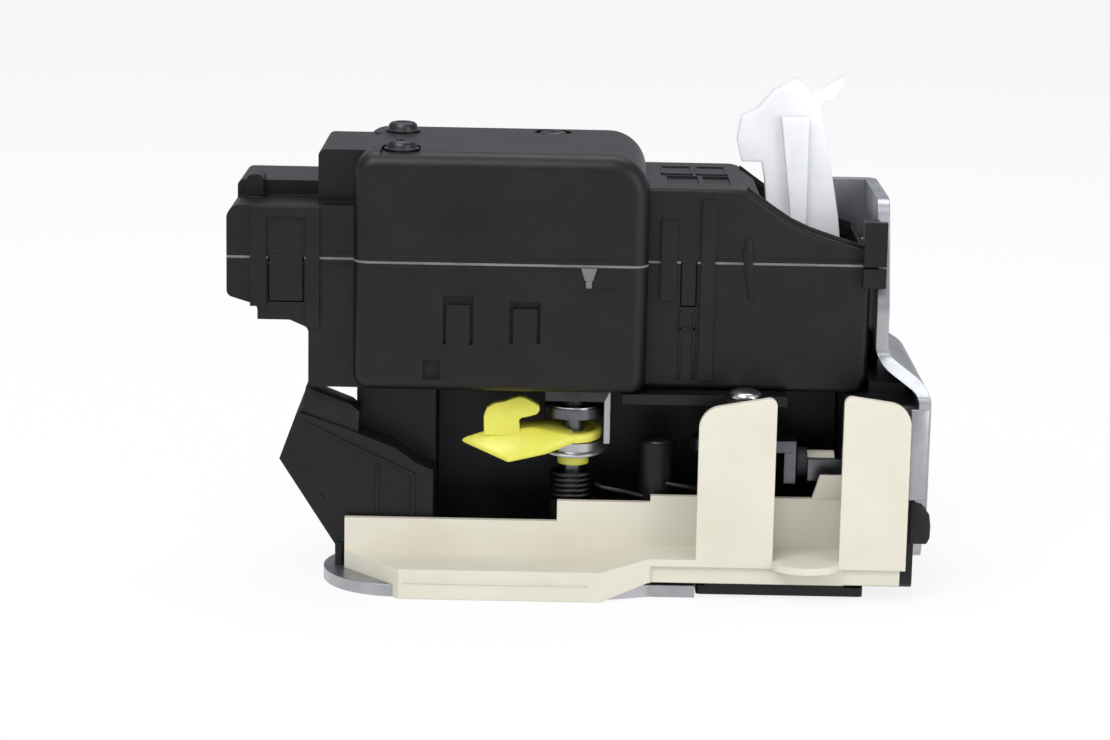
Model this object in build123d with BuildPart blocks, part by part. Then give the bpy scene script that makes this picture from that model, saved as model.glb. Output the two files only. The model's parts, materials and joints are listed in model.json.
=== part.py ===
from build123d import *
from math import acos, asin, atan2, cos, degrees, pi, radians, sin, sqrt, tan
import os

os.makedirs("parts", exist_ok=True)

# A car door latch with its electric lock actuator, in millimetres.
# The origin is on the outer face of the steel face plate, above the striker mouth.
# +X points out of the face plate, +Y away from the lever side, +Z from the base plate to the housing.

# Clearances
fit = 0.05
gap = 0.3
over = 1.0
seat = 0.02

# Levels and faces that many pieces share
base_z = -29.7
sheet_t = 2.6
floor_z = 13.0
seam_z = 41.0
gasket_t = 0.5
wall = 2.0
back_y = 25.0
deck_z = base_z + sheet_t

# Main block of the housing
main_left_x = -123.3
main_right_x = -60.5
main_top_z = 64.5
main_front_y = -19.0
main_corner_r = 5.0
main_shoulder_r = 8.5
main_edge_r = 3.5

# Right block, with the sloping shoulder that the lock lever comes through
right_x = -12.6
right_front_y = -12.0
right_top_z = 57.3
shoulder_x = -40.3
shoulder_r = 6.0
slope_mid_x = -28.3
slope_mid_z = 48.9
slope_bend_r = 30.0
slope_end_z = 43.8
slope_drop_share = 1.12
right_foot_z = 16.5
right_edge_r = 1.5

# Left block, with its stepped underside
left_x = -150.5
left_front_y = -15.0
left_back_y = 20.0
left_top_z = 52.2
left_under_z = 32.6
left_step_x = -143.9
left_step_z = 27.5
leg_x = -133.0
leg_step_x = -137.0
leg_top_z = 25.8
left_edge_r = 1.5
ridge_h = 3.4
ridge_front_y = -1.0
ridge_right_x = -130.0
post_x = -145.4
post_w = 3.6
post_h = 5.0
column_left_x = -131.4
column_front_y = -9.0
column_top_z = 63.6

# Snap tongues of the cover
tongue_t = 1.2
tongue_top_z = 50.0
tongue_foot_z = 31.6
left_tongue_x = -137.8
left_tongue_w = 7.2
right_tongue_x = -51.7
right_tongue_w = 3.0

# Raised bars beside the tongues, each as left, right, foot and top
bar_h = 0.9
left_bars = [
    (-145.4, -142.0, 30.5, 52.0),
    (-133.6, -130.6, 26.2, 52.0),
    (-145.4, -130.6, 49.9, 52.0),
]
right_bars = [(-57.8, -54.4, 32.8, 50.1), (-49.2, -46.2, 15.5, 54.6)]

# Housing screws
screw_r = 2.0
screw_head_r = 3.85
screw_head_h = 2.2
screw_l = 30.0
screw_boss_r = 3.7
screw_places = [(-113.6, -9.0), (-114.6, 15.0), (-81.4, 18.6)]
screw_lug_r = 6.2
screw_scoop_depth = 0.8
screw_well_depth = 2.0

# Flange and screw lug under the right block
flange_x = -65.5
flange_right_x = -30.0
flange_front_y = -17.0
flange_h = 2.2
lug_x = -39.2
lug_y = -17.5
lug_r = 4.6
dome_r = 3.6
dome_h = 1.9

# Side lug on the housing's right wall
side_lug_top_z = 50.8
side_lug_foot_z = 36.6
side_lug_out = 2.9
side_lug_t = 1.9

# Snap windows in the front of the lower shell, each as left, right, groove foot, slot foot and top
pocket_depth = 1.4
groove_w = 0.7
snap_windows = [(-104.0, -97.6, 23.5, 32.1, 34.1), (-89.8, -83.3, 24.0, 31.5, 33.0)]
low_pocket = (-108.2, -104.5, 15.8, 20.1)

# Lock motor, worm and worm wheel
motor_y = 1.0
can_left_x = -97.0
can_right_x = -66.0
can_r = 11.5
can_wall = 1.2
nose_r = 4.0
nose_l = 2.6
cap_t = 3.0
cap_boss_l = 2.0
shaft_r = 1.0
shaft_left_x = -99.5
core_r = 8.6
core_left_x = -89.0
core_l = 17.0
core_slots = 5
core_slot_w = 2.4
core_slot_depth = 4.6
commutator_r = 3.4
commutator_l = 3.2
tooth_module = 1.0
pressure_deg = 20.0
tip_share = 0.85
root_share = 1.2
thread_tip_share = 0.9
wheel_teeth = 20
pinion_teeth = 12
sector_teeth = 48
sector_ring = 4
worm_r = 3.5
worm_core_r = 2.2
worm_turns = 4
worm_hub_l = 17.0
worm_thread_w = 1.15
thread_sink = 0.2
bush_r = 3.0
bush_l = 3.0
bush_gap = 2.9
wheel_w = 3.0
pinion_w = 5.0
wheel_hub_r = 3.4
axle_r = 1.6
backlash = 0.34

# Lock lever
lock_x = -23.0
lock_z = 32.0
lock_lever_t = 4.0
lock_hub_r = 6.0
lock_axle_r = 2.2
lock_cam_r = 8.0
lock_cam_t = 4.0
window_left_x = -36.6
window_right_x = -14.6
window_front_y = -7.5
window_back_y = 20.0
lever_rib_share = 1.5
lever_span = 48.0
lever_shares = [
    (-0.125, 0.031),
    (-0.194, 0.292),
    (-0.244, 0.429),
    (-0.252, 0.521),
    (-0.269, 0.604),
    (-0.360, 0.604),
    (-0.383, 0.698),
    (-0.367, 0.804),
    (-0.292, 0.846),
    (-0.221, 0.929),
    (-0.123, 0.983),
    (-0.081, 0.950),
    (-0.054, 0.917),
    (0.017, 0.950),
    (0.090, 0.998),
    (0.098, 0.963),
    (0.054, 0.894),
    (-0.008, 0.875),
    (-0.004, 0.829),
    (0.040, 0.615),
    (0.085, 0.363),
    (0.117, 0.083),
]

# Switches
switch_l = 12.8
switch_w = 5.8
switch_h = 6.5
switch_seat_h = 0.8
plunger_l = 2.6
plunger_w = 1.6
plunger_travel = 0.8
claw_switch_y = 9.5
claw_switch_w = 4.4
claw_switch_l = 12.0
claw_switch_h = 4.0

# Face plate
plate_w_front_y = -24.0
plate_foot_z = -22.0
plate_top_z = 54.4
dish_depth = 8.5
dish_top_z = 16.5
dish_foot_z = 22.0
dish_r = 6.0
neck_front_y = -13.0
neck_r = 8.0
plate_corner_r = 7.0
plate_top_r = 4.0
plate_cut_z = -9.0
plate_cut_y = -16.0
plate_cut_r = 5.0
back_flange_l = 10.0
back_flange_foot_z = 41.0
mouth_z = -11.0
mouth_cut_r = 8.2
mouth_clear_r = 6.5
fixing_r = 2.5
fixing_collar_r = 4.4
fixing_collar_l = 2.0
fixing_places = [(-18.5, 5.0), (19.0, 6.0), (19.0, -16.5)]

# Claw housing behind the face plate
claw_house_w = 48.0
claw_house_wall = 2.5
claw_house_roof = 1.3
claw_house_floor = 2.0
pocket_back_x = -13.5
pocket_front_x = -4.6
back_sheet_t = 1.6
ledge_right_x = -4.4
ledge_front_y = -13.0
ledge_back_y = 20.0
ledge_top_z = 15.8
liner_t = 1.5
liner_out = 1.0
liner_flange = 2.0

# Claw and pawl
claw_y = 14.0
claw_z = -7.0
claw_r = 17.0
claw_front_x = -4.9
claw_t = 4.3
claw_hub_r = 7.1
claw_pin_r = 3.5
claw_swing = 50.0
striker_z = -9.5
throat_r = 6.2
jacket_t = 1.2
arm_start_deg = 120.0
hook_end_deg = 287.0
notch_start_deg = 180.0
notch_end_deg = 198.0
notch_depth = 3.0
pawl_y = -13.0
pawl_z = -12.0
pawl_hub_r = 6.0
pawl_pin_r = 2.8
pawl_w = 5.5
tab_t = 2.0
tab_top_z = -2.2
tab_foot_z = -7.0
tab_back_x = -24.6
tab_swing_shares = (1.2, 3.0)
rivet_head_h = 0.8
rivet_head_r = 4.6

# Coil springs
claw_wire_r = 0.5
claw_coil_r = 5.0
coil_pitch = 1.15
claw_coil_turns = 2.5
pawl_coil_r = 4.2
lever_wire_r = 0.5
lever_coil_r = 4.6
exterior_coil_turns = 5.0
release_coil_turns = 8.0
spring_leg = 5.0

# Levers under the housing
exterior_x = -75.7
exterior_y = -7.0
exterior_top_z = 4.6
exterior_t = 2.6
exterior_eye_r = 6.2
exterior_hub_r = 3.4
exterior_hub_foot_z = -4.6
lever_pin_r = 2.2
flange_disc_r = 6.5
flange_disc_top_z = 8.4
flange_disc_t = 2.2
washer_r = 6.5
washer_t = 2.4
washer_top_z = 0.9
hook_x = -95.4
hook_w = 4.0
hook_t = 2.6
hook_span = 12.3
hook_shares = [
    (0.0, 0.0),
    (0.02, 0.47),
    (0.29, 0.66),
    (0.667, 0.756),
    (0.91, 0.675),
    (1.0, 0.47),
    (1.0, 0.374),
    (0.634, 0.374),
    (0.634, 0.252),
    (0.634, 0.0),
]
blade_x = -100.2
wedge_back_y = -12.0
wedge_front_y = -18.0
wedge_span = 20.0
wedge_back_shares = [(-1.0, 0.1), (-0.82, 0.23), (-0.02, 0.23), (0.08, 0.08), (-0.5, -0.11)]
wedge_front_shares = [(-0.85, 0.03), (-0.72, 0.09), (-0.17, 0.09), (-0.08, 0.02), (-0.49, -0.12)]
bracket_left_x = -82.0
bracket_tab_foot_z = 1.2
release_x = -38.0
release_y = -6.0
release_top_z = 1.5
release_hub_r = 6.0
release_arm_w = 8.0
release_tail_x = -50.0
release_stub_r = 1.3
release_stub_y = -5.2
release_stub_z = -4.0
release_bush_r = 2.7
release_bush_right_x = -18.6
ring_r = 3.3
ring_t = 2.2

# Lever frame, base plate and bottom cover
frame_left_x = -105.7
frame_front_y = -14.0
frame_floor_t = 2.6
frame_wall_t = 3.0
frame_wall_y = 8.0
pin_boss_r = 5.2
pin_boss_h = 12.0
stop_x = -57.3
stop_y = -8.5
stop_r = 3.9
stop_top_z = 1.0
screw_post_t = 1.5
frame_rib_t = 2.0
round_end_x = -113.4
round_end_y = -12.0
round_end_r = 16.3
base_right_x = -49.2
base_back_y = 11.0
cover_right_x = -13.0
cover_front_y = -24.0
cover_back_y = 20.0
cover_sheet_t = 2.0
cover_rim_h = 3.1
cover_rim_t = 2.0

# Connector
socket_front_y = -13.0
socket_back_y = 8.0
socket_tilt = 26.0
socket_wall = 1.4
socket_depth = 16.0
socket_right_x = -106.0
socket_span = 33.4
socket_shares = [
    (-0.886, 1.018),
    (-1.0, 0.704),
    (-0.635, 0.135),
    (-0.635, 0.0),
    (0.0, 0.0),
    (0.0, 0.644),
    (-0.117, 0.695),
    (-0.251, 0.790),
    (-0.551, 0.905),
]
ramp_shares = [
    (-0.80, 0.960),
    (-0.74, 1.040),
    (-0.62, 0.980),
    (-0.62, 0.870),
]
socket_h = 11.0
neck_h = 22.0
lead_x = -113.0
terminal_y = 2.6
terminal_drop_share = 1.5
base_hole_x = -116.5
base_hole_y = -3.0
base_hole_room = 6.0
neck_left_x = -123.2
neck_right_x = -105.9
neck_front_y_low = -4.0
neck_back_y_low = 7.0
blade_pins = 5
pin_pitch = 2.6
pin_size = 0.64
pin_row_gap = 3.2

# Guard, the cream trough with two ears
guard_t = 1.6
guard_back_y = -14.0
guard_left_x = -125.0
guard_bend_x = -112.5
guard_step_x = -79.0
guard_low_end_x = -69.5
guard_blend_x = -59.3
guard_right_x = -5.6
guard_low_top_z = -15.8
guard_mid_top_z = -11.2
guard_high_top_z = -9.7
guard_high_x = -58.8
guard_low_ledge_z = -23.2
guard_ledge_z = -20.9
guard_low_front_y = -30.0
guard_front_y = -26.5
guard_foot_z = -26.2
guard_set_back = 0.8
guard_slant_share = 1.3
ear_left_x = -49.2
ear_notch_left_x = -32.8
ear_notch_right_x = -18.6
ear_right_x = -4.3
ear_left_low_z = 12.0
ear_left_high_z = 15.0
ear_right_high_z = 15.6
ear_right_low_z = 13.6
ear_r = 5.0
notch_lip_r = 7.0
notch_lip_depth = 5.2


def side_plane(y):
    """Plane facing the lever side, at this Y, with local axes X and Z."""
    return Plane.XZ.offset(-y)


def end_plane(x):
    """Plane facing out of the face plate, at this X, with local axes Y and Z."""
    return Plane.YZ.offset(x)


def level(z):
    """Horizontal plane at this Z."""
    return Plane.XY.offset(z)


def rounded(*corners):
    """Adds a polygon to the open sketch; each corner is (x, y, radius)."""
    Polygon(*[(x, y) for x, y, r in corners], align=None)
    for x, y, r in corners:
        if r > 0:
            fillet(vertices().sort_by_distance((x, y))[0], radius=r)


def panel(x0, x1, y0, y1, mode=Mode.ADD):
    """Adds a rectangle to the open sketch from its four sides."""
    Polygon((x0, y0), (x1, y0), (x1, y1), (x0, y1), align=None, mode=mode)


def traced(origin, span, shares):
    """Points of an outline given as shares of one span from an origin."""
    return [(origin[0] + span * a, origin[1] + span * b) for a, b in shares]


def polar(centre, radius, angle_deg):
    """Point at an angle and radius from a centre, in a sketch's own plane."""
    a = radians(angle_deg)
    return (centre[0] + radius * cos(a), centre[1] + radius * sin(a))


# Housing shells


def main_block():
    with BuildPart() as block:
        with BuildSketch(side_plane(back_y)):
            rounded(
                (main_left_x, floor_z, main_edge_r),
                (main_right_x, floor_z, main_edge_r),
                (main_right_x, main_top_z, main_shoulder_r),
                (main_left_x, main_top_z, main_corner_r),
            )
        extrude(amount=back_y - main_front_y)
        fillet(block.faces().sort_by(Axis.Y)[0].edges(), radius=main_edge_r - seat)
        fillet(block.edges().filter_by_position(Axis.Y, back_y, back_y), radius=left_edge_r - seat)
    return block.part


def right_block():
    with BuildPart() as block:
        with BuildSketch(side_plane(back_y)):
            rounded(
                (main_right_x - main_shoulder_r, floor_z, 0),
                (right_x - wall, floor_z, 0),
                (right_x, right_foot_z, 0),
                (right_x, slope_end_z, right_edge_r),
                (slope_mid_x, slope_mid_z, slope_bend_r),
                (shoulder_x, right_top_z, shoulder_r),
                (main_right_x - main_shoulder_r, right_top_z, 0),
            )
        extrude(amount=back_y - right_front_y)
        fillet(block.faces().sort_by(Axis.Y)[0].edges(), radius=right_edge_r - seat)
    return block.part


def left_block():
    with BuildPart() as block:
        with BuildSketch(side_plane(left_back_y)):
            rounded(
                (main_left_x + wall, floor_z, 0),
                (main_left_x + wall, left_top_z, 0),
                (left_x, left_top_z, 2 * left_edge_r),
                (left_x, left_under_z, left_edge_r),
                (left_step_x, left_under_z - wall, left_edge_r),
                (left_step_x, left_step_z, 0),
                (leg_step_x, left_step_z, left_edge_r),
                (leg_x, leg_top_z, left_edge_r),
                (leg_x, floor_z, left_edge_r),
            )
        extrude(amount=left_back_y - left_front_y)
        with BuildSketch(side_plane(left_back_y)):
            rounded(
                (left_x + wall / 2, left_top_z - wall, 0),
                (ridge_right_x, left_top_z - wall, 0),
                (ridge_right_x, left_top_z + ridge_h, 0),
                (left_x + wall / 2, left_top_z + ridge_h, left_edge_r),
            )
        extrude(amount=left_back_y - ridge_front_y)
        with BuildSketch(side_plane(left_back_y)):
            rounded(
                (column_left_x, left_top_z - wall, 0),
                (main_left_x + main_corner_r, left_top_z - wall, 0),
                (main_left_x + main_corner_r, column_top_z, 0),
                (column_left_x, column_top_z, left_edge_r),
            )
        extrude(amount=left_back_y - column_front_y)
    return block.part


def housing_outer():
    with BuildPart() as outer:
        add(main_block())
        add(right_block())
        add(left_block())
    return outer.part


def housing_cavity():
    with BuildPart() as cavity:
        with BuildSketch(side_plane(back_y - wall)):
            rounded(
                (main_left_x + wall, floor_z + wall, 0),
                (main_right_x - wall, floor_z + wall, 0),
                (main_right_x - wall, main_top_z - wall, main_shoulder_r - wall),
                (main_left_x + wall, main_top_z - wall, main_corner_r - wall),
            )
        extrude(amount=back_y - main_front_y - 2 * wall)
        # The sloping roof keeps its thickness, measured straight down
        drop = wall * slope_drop_share
        with BuildSketch(side_plane(back_y - wall)):
            rounded(
                (main_right_x - 2 * wall, floor_z + wall, 0),
                (right_x - wall, floor_z + wall, 0),
                (right_x - wall, slope_end_z - wall, 0),
                (slope_mid_x, slope_mid_z - drop, slope_bend_r),
                (shoulder_x - wall / 2, right_top_z - wall, 0),
                (main_right_x - 2 * wall, right_top_z - wall, 0),
            )
        extrude(amount=back_y - right_front_y - 2 * wall)
        with BuildSketch(side_plane(left_back_y - wall)):
            rounded(
                (main_left_x + 2 * wall, left_step_z + wall, 0),
                (main_left_x + 2 * wall, left_top_z - wall, 0),
                (left_x + wall, left_top_z - wall, 0),
                (left_x + wall, left_under_z + wall, 0),
                (left_step_x + wall, left_under_z, 0),
                (leg_x + wall, left_step_z + wall, 0),
            )
        extrude(amount=left_back_y - left_front_y - 2 * wall)
        with BuildSketch(side_plane(left_back_y - wall)):
            panel(leg_x + wall, main_left_x + 2 * wall, floor_z + wall, left_under_z)
        extrude(amount=left_back_y - left_front_y - 2 * wall)
    return cavity.part


def tongue_sketch(x, w, top, foot, grow):
    """Outline of one snap tongue in its plane, grown all round for its recess."""
    panel(x - w / 2 - grow, x + w / 2 + grow, foot - grow, top + grow)


def make_upper_cover(outer, cavity):
    with BuildPart() as upper_cover:
        add(outer)
        add(cavity, mode=Mode.SUBTRACT)
        split(bisect_by=level(seam_z + gasket_t / 2), keep=Keep.TOP)
        # Screw columns, from the roof down to the seam
        column_l = main_top_z - wall - seam_z - gasket_t / 2
        for x, y in screw_places:
            with BuildSketch(level(seam_z + gasket_t / 2)):
                with Locations((x, y)):
                    Circle(screw_boss_r)
            extrude(amount=column_l + wall / 2)
        # Round seats of the two left screws, which fill the rounded corner
        with BuildSketch(level(main_top_z - wall)):
            with Locations(*screw_places[:2]):
                Circle(screw_lug_r)
        extrude(amount=wall + seat)
        # Thicker roof round the right screw's well
        with BuildSketch(level(main_top_z - wall)):
            with Locations(screw_places[2]):
                Circle(screw_lug_r)
        extrude(amount=-wall)
        # Post on the ridge of the left block
        with BuildSketch(side_plane(ridge_front_y + post_w)):
            rounded(
                (post_x - post_w / 2, left_top_z - wall / 2, 0),
                (post_x + post_w / 2, left_top_z - wall / 2, 0),
                (post_x + post_w / 2, left_top_z + post_h, post_w / 3),
                (post_x - post_w / 2, left_top_z + post_h, post_w / 3),
            )
        extrude(amount=2 * post_w)
        # Snap tongues that reach down over the lower shell
        for x, w, face_y in (
            (left_tongue_x, left_tongue_w, left_front_y),
            (right_tongue_x, right_tongue_w, right_front_y),
        ):
            with BuildSketch(side_plane(face_y + tongue_t)):
                tongue_sketch(x, w, tongue_top_z - wall, tongue_foot_z, 0)
            extrude(amount=tongue_t)
        # Raised bars beside the tongues; below the seam they lie on the lower shell's face
        for bars, face_y in ((left_bars, left_front_y), (right_bars, right_front_y)):
            for x0, x1, foot, top in bars:
                with BuildSketch(side_plane(face_y - seat)):
                    panel(x0, x1, foot, top)
                extrude(amount=bar_h)
                with BuildSketch(side_plane(face_y + wall / 2)):
                    panel(x0, x1, max(foot, seam_z + gasket_t / 2), top)
                extrude(amount=wall / 2 + bar_h)
        # Upper part of the side lug
        with BuildSketch(level(seam_z + gasket_t / 2)):
            side_lug_sketch()
        extrude(amount=side_lug_top_z - seam_z - gasket_t / 2)
        # Opening for the lock lever in the slope
        with BuildSketch(level(slope_end_z - wall * 2)):
            panel(window_left_x, window_right_x, window_front_y, window_back_y)
        extrude(amount=right_top_z, mode=Mode.SUBTRACT)
        # Scoop of the front screw and well of the right one
        front_x, front_y = screw_places[0]
        with BuildSketch(level(main_top_z - screw_scoop_depth)):
            with Locations((front_x, front_y)):
                Circle(screw_head_r + gap)
            panel(
                front_x - screw_head_r - gap,
                front_x + screw_head_r + gap,
                main_front_y - over,
                front_y,
            )
        extrude(amount=wall, mode=Mode.SUBTRACT)
        with BuildSketch(level(main_top_z - screw_well_depth)):
            with Locations(screw_places[2]):
                Circle(screw_head_r + gap)
        extrude(amount=2 * wall, mode=Mode.SUBTRACT)
        # Screw holes
        for x, y in screw_places:
            with BuildSketch(level(seam_z)):
                with Locations((x, y)):
                    Circle(screw_r + seat)
            extrude(amount=main_top_z, mode=Mode.SUBTRACT)
        # Two shallow label fields on the right block's top
        for x0, x1, y0, y1 in label_fields():
            with BuildSketch(level(right_top_z - wall / 4)):
                panel(x0, x1, y0, y1)
            extrude(amount=wall, mode=Mode.SUBTRACT)
    return upper_cover


def side_lug_sketch():
    """Footprint of the lug that stands in front of the face plate's neck."""
    plate_back = -dish_depth - sheet_t - fit
    Polygon(
        (right_x - wall, right_front_y + wall),
        (right_x - wall, neck_front_y - side_lug_t),
        (right_x + side_lug_out, neck_front_y - side_lug_t),
        (right_x + side_lug_out, neck_front_y - fit),
        (plate_back, neck_front_y - fit),
        (plate_back, right_front_y + wall),
        align=None,
    )


def label_fields():
    """The two recessed fields on top of the right block, as X and Y ranges."""
    field_l = (shoulder_x - main_right_x) / 3
    left = main_right_x + 2 * wall
    near = right_front_y + 2 * wall
    depth = (back_y - right_front_y) / 3
    return [
        (left, left + field_l, near, near + depth),
        (left + field_l + wall / 2, left + 2 * field_l, near, near + depth),
    ]


def make_gasket(outer, cavity):
    with BuildPart() as housing_gasket:
        add(outer)
        add(cavity, mode=Mode.SUBTRACT)
        split(bisect_by=level(seam_z - gasket_t / 2), keep=Keep.TOP)
        split(bisect_by=level(seam_z + gasket_t / 2), keep=Keep.BOTTOM)
        for x, w, face_y in (
            (left_tongue_x, left_tongue_w, left_front_y),
            (right_tongue_x, right_tongue_w, right_front_y),
        ):
            with BuildSketch(side_plane(face_y + tongue_t + seat)):
                tongue_sketch(x, w, tongue_top_z, tongue_foot_z, gap)
            extrude(amount=tongue_t + over, mode=Mode.SUBTRACT)
    return housing_gasket


def make_lower_base(outer, cavity):
    with BuildPart() as lower_base:
        add(outer)
        add(cavity, mode=Mode.SUBTRACT)
        split(bisect_by=level(seam_z - gasket_t / 2), keep=Keep.BOTTOM)
        seam_under = seam_z - gasket_t / 2
        # Screw columns up to the seam
        for x, y in screw_places:
            with BuildSketch(level(floor_z + wall / 2)):
                with Locations((x, y)):
                    Circle(screw_boss_r)
            extrude(amount=seam_under - floor_z - wall / 2)
        # Cradle ribs under the motor and the bearing rib at the worm's end
        for x in (can_left_x + 2 * cap_t, can_right_x - 2 * cap_t):
            with BuildSketch(end_plane(x)):
                panel(motor_y - can_r, motor_y + can_r, floor_z + wall / 2, seam_under)
            extrude(amount=wall)
        with BuildSketch(end_plane(bush_x())):
            rib_front = motor_y - bush_r - wall
            panel(rib_front, lever_front_y() - gap, floor_z + wall / 2, seam_under)
            panel(rib_front, motor_y + bush_r + wall, seam_z - bush_r - wall / 2, seam_under)
        extrude(amount=bush_l)
        # Bosses that hold the two axles
        for x, z, r in ((wheel_x(), wheel_z(), axle_r), (lock_x, lock_z, lock_axle_r)):
            with BuildSketch(side_plane(right_front_y + 2 * wall)):
                with Locations((x, z)):
                    Circle(r + wall)
            extrude(amount=wall + wall / 2)
            with BuildSketch(side_plane(back_y - wall / 2)):
                with Locations((x, z)):
                    Circle(r + wall)
            extrude(amount=wall + wall / 2)
        # Posts that carry the lock switch
        with BuildSketch(level(floor_z + wall / 2)):
            with Locations((switch_x(), switch_y())):
                Rectangle(switch_l, switch_w)
        extrude(amount=wall / 2 + switch_seat_h)
        # Flange under the right block and the lug of the dome screw
        with BuildSketch(level(floor_z)):
            panel(flange_x, flange_right_x, flange_front_y, right_front_y + wall)
        extrude(amount=-flange_h)
        with BuildSketch(level(floor_z)):
            with Locations((lug_x, lug_y)):
                Circle(lug_r)
        extrude(amount=-flange_h)
        # Side lug in front of the face plate's neck
        with BuildSketch(level(side_lug_foot_z)):
            side_lug_sketch()
        extrude(amount=seam_under - side_lug_foot_z)
        # Recesses for the snap tongues
        for x, w, face_y in (
            (left_tongue_x, left_tongue_w, left_front_y),
            (right_tongue_x, right_tongue_w, right_front_y),
        ):
            with BuildSketch(side_plane(face_y + tongue_t + seat)):
                tongue_sketch(x, w, tongue_top_z, tongue_foot_z, gap)
            extrude(amount=tongue_t + over, mode=Mode.SUBTRACT)
        # Snap windows with a groove down each side, and the low pocket
        with BuildSketch(side_plane(main_front_y + pocket_depth)):
            for left, right, groove_foot, slot_foot, top in snap_windows:
                panel(left, right, slot_foot, top)
                panel(left, left + groove_w, groove_foot, top)
                panel(right - groove_w, right, groove_foot, top)
            panel(*low_pocket)
        extrude(amount=pocket_depth + over, mode=Mode.SUBTRACT)
        # Seats of the motor, the bush and the axles
        with BuildSketch(end_plane(can_left_x)):
            with Locations((motor_y, seam_z)):
                Circle(can_r + fit)
        extrude(amount=can_right_x - can_left_x, mode=Mode.SUBTRACT)
        with BuildSketch(end_plane(can_right_x)):
            with Locations((motor_y, seam_z)):
                Circle(bush_r + seat)
        extrude(amount=bush_x() + bush_l + over - can_right_x, mode=Mode.SUBTRACT)
        for x, z, r in ((wheel_x(), wheel_z(), axle_r), (lock_x, lock_z, lock_axle_r)):
            with BuildSketch(side_plane(back_y - wall)):
                with Locations((x, z)):
                    Circle(r + seat)
            extrude(amount=back_y - right_front_y - 2 * wall, mode=Mode.SUBTRACT)
        # Screw holes and the way of the connector's conductors through the floor
        for x, y in screw_places:
            with BuildSketch(level(main_top_z - screw_l)):
                with Locations((x, y)):
                    Circle(screw_r + seat)
            extrude(amount=screw_l, mode=Mode.SUBTRACT)
        with BuildSketch(level(floor_z - flange_h - over)):
            with Locations((lug_x, lug_y)):
                Circle(screw_r + seat)
        extrude(amount=flange_h + 2 * over, mode=Mode.SUBTRACT)
        with BuildSketch(level(floor_z - over)):
            panel(neck_left_x + wall, neck_right_x - wall, neck_front_y_low + wall, neck_back_y_low - wall)
        extrude(amount=wall + 2 * over, mode=Mode.SUBTRACT)
    return lower_base


def screw_seat_levels():
    """Level of each screw's seat: the front one scooped, the right one in a well."""
    return [main_top_z - screw_scoop_depth, main_top_z + seat, main_top_z - screw_well_depth]


def make_cover_screws():
    with BuildPart() as cover_screws:
        for (x, y), seat_z in zip(screw_places, screw_seat_levels()):
            with BuildSketch(level(main_top_z - screw_l)):
                with Locations((x, y)):
                    Circle(screw_r)
            extrude(amount=seat_z + 2 * seat - main_top_z + screw_l)
            with BuildSketch(level(seat_z + seat)):
                with Locations((x, y)):
                    Circle(screw_head_r)
            extrude(amount=screw_head_h)
    return cover_screws


# Lock motor and gears


def wheel_r():
    return tooth_module * wheel_teeth / 2


def wheel_z():
    return seam_z - wheel_r() - worm_r


def wheel_x():
    reach = tooth_module * (pinion_teeth + sector_teeth) / 2
    return lock_x - sqrt(reach**2 - (lock_z - wheel_z()) ** 2)


def mesh_deg():
    """Angle from the wheel to the lock lever's axle, in the XZ plane."""
    return degrees(atan2(lock_z - wheel_z(), lock_x - wheel_x()))


def bush_x():
    return wheel_x() + worm_hub_l / 2 + bush_gap


def lever_front_y():
    return motor_y + wheel_w / 2 + gap + seat


def gear_points(teeth, first_deg, count, backlash_w):
    """Points of an involute tooth ring, one tooth centred on each step from first_deg."""
    pressure = radians(pressure_deg)
    pitch_r = tooth_module * teeth / 2
    base_r = pitch_r * cos(pressure)
    tip_r = pitch_r + tooth_module * tip_share
    root_r = pitch_r - tooth_module * root_share
    half = (pi * tooth_module / 2 - backlash_w) / 2 / pitch_r
    inv_pitch = tan(pressure) - pressure

    def half_at(r):
        if r <= base_r:
            return half + inv_pitch
        a = acos(base_r / r)
        return half + inv_pitch - (tan(a) - a)

    radii = [root_r, max(base_r, root_r), (base_r + tip_r) / 2, tip_r]
    points = []
    for k in range(count):
        middle = radians(first_deg + k * 360.0 / teeth)
        for r in radii:
            points.append((r, middle - half_at(r)))
        for r in reversed(radii):
            points.append((r, middle + half_at(r)))
    return points


def turned(centre, points):
    """Polar points as plane points, with angles running anticlockwise for the viewer."""
    return [(centre[0] + r * cos(a), centre[1] + r * sin(a)) for r, a in points]


def make_motor_can():
    with BuildPart() as motor_can:
        with BuildSketch(end_plane(can_left_x)):
            with Locations((motor_y, seam_z)):
                Circle(can_r)
        extrude(amount=can_right_x - can_left_x)
        with BuildSketch(end_plane(can_left_x)):
            with Locations((motor_y, seam_z)):
                Circle(can_r - can_wall)
        extrude(amount=can_right_x - can_left_x - can_wall, mode=Mode.SUBTRACT)
        with BuildSketch(end_plane(can_right_x - can_wall / 2)):
            with Locations((motor_y, seam_z)):
                Circle(nose_r)
        extrude(amount=nose_l)
        with BuildSketch(end_plane(can_right_x - can_wall - over)):
            with Locations((motor_y, seam_z)):
                Circle(shaft_r + fit)
        extrude(amount=nose_l + can_wall + 2 * over, mode=Mode.SUBTRACT)
    return motor_can


def make_motor_end_cap():
    with BuildPart() as motor_end_cap:
        with BuildSketch(end_plane(can_left_x)):
            with Locations((motor_y, seam_z)):
                Circle(can_r - can_wall - seat)
        extrude(amount=cap_t)
        with BuildSketch(end_plane(can_left_x)):
            with Locations((motor_y, seam_z)):
                Circle(nose_r)
        extrude(amount=-cap_boss_l)
        with BuildSketch(end_plane(can_left_x - cap_boss_l - over)):
            with Locations((motor_y, seam_z)):
                Circle(shaft_r + fit)
        extrude(amount=cap_t + cap_boss_l + 2 * over, mode=Mode.SUBTRACT)
    return motor_end_cap


def terminal_z():
    return seam_z - nose_r - terminal_drop_share * wall


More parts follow.
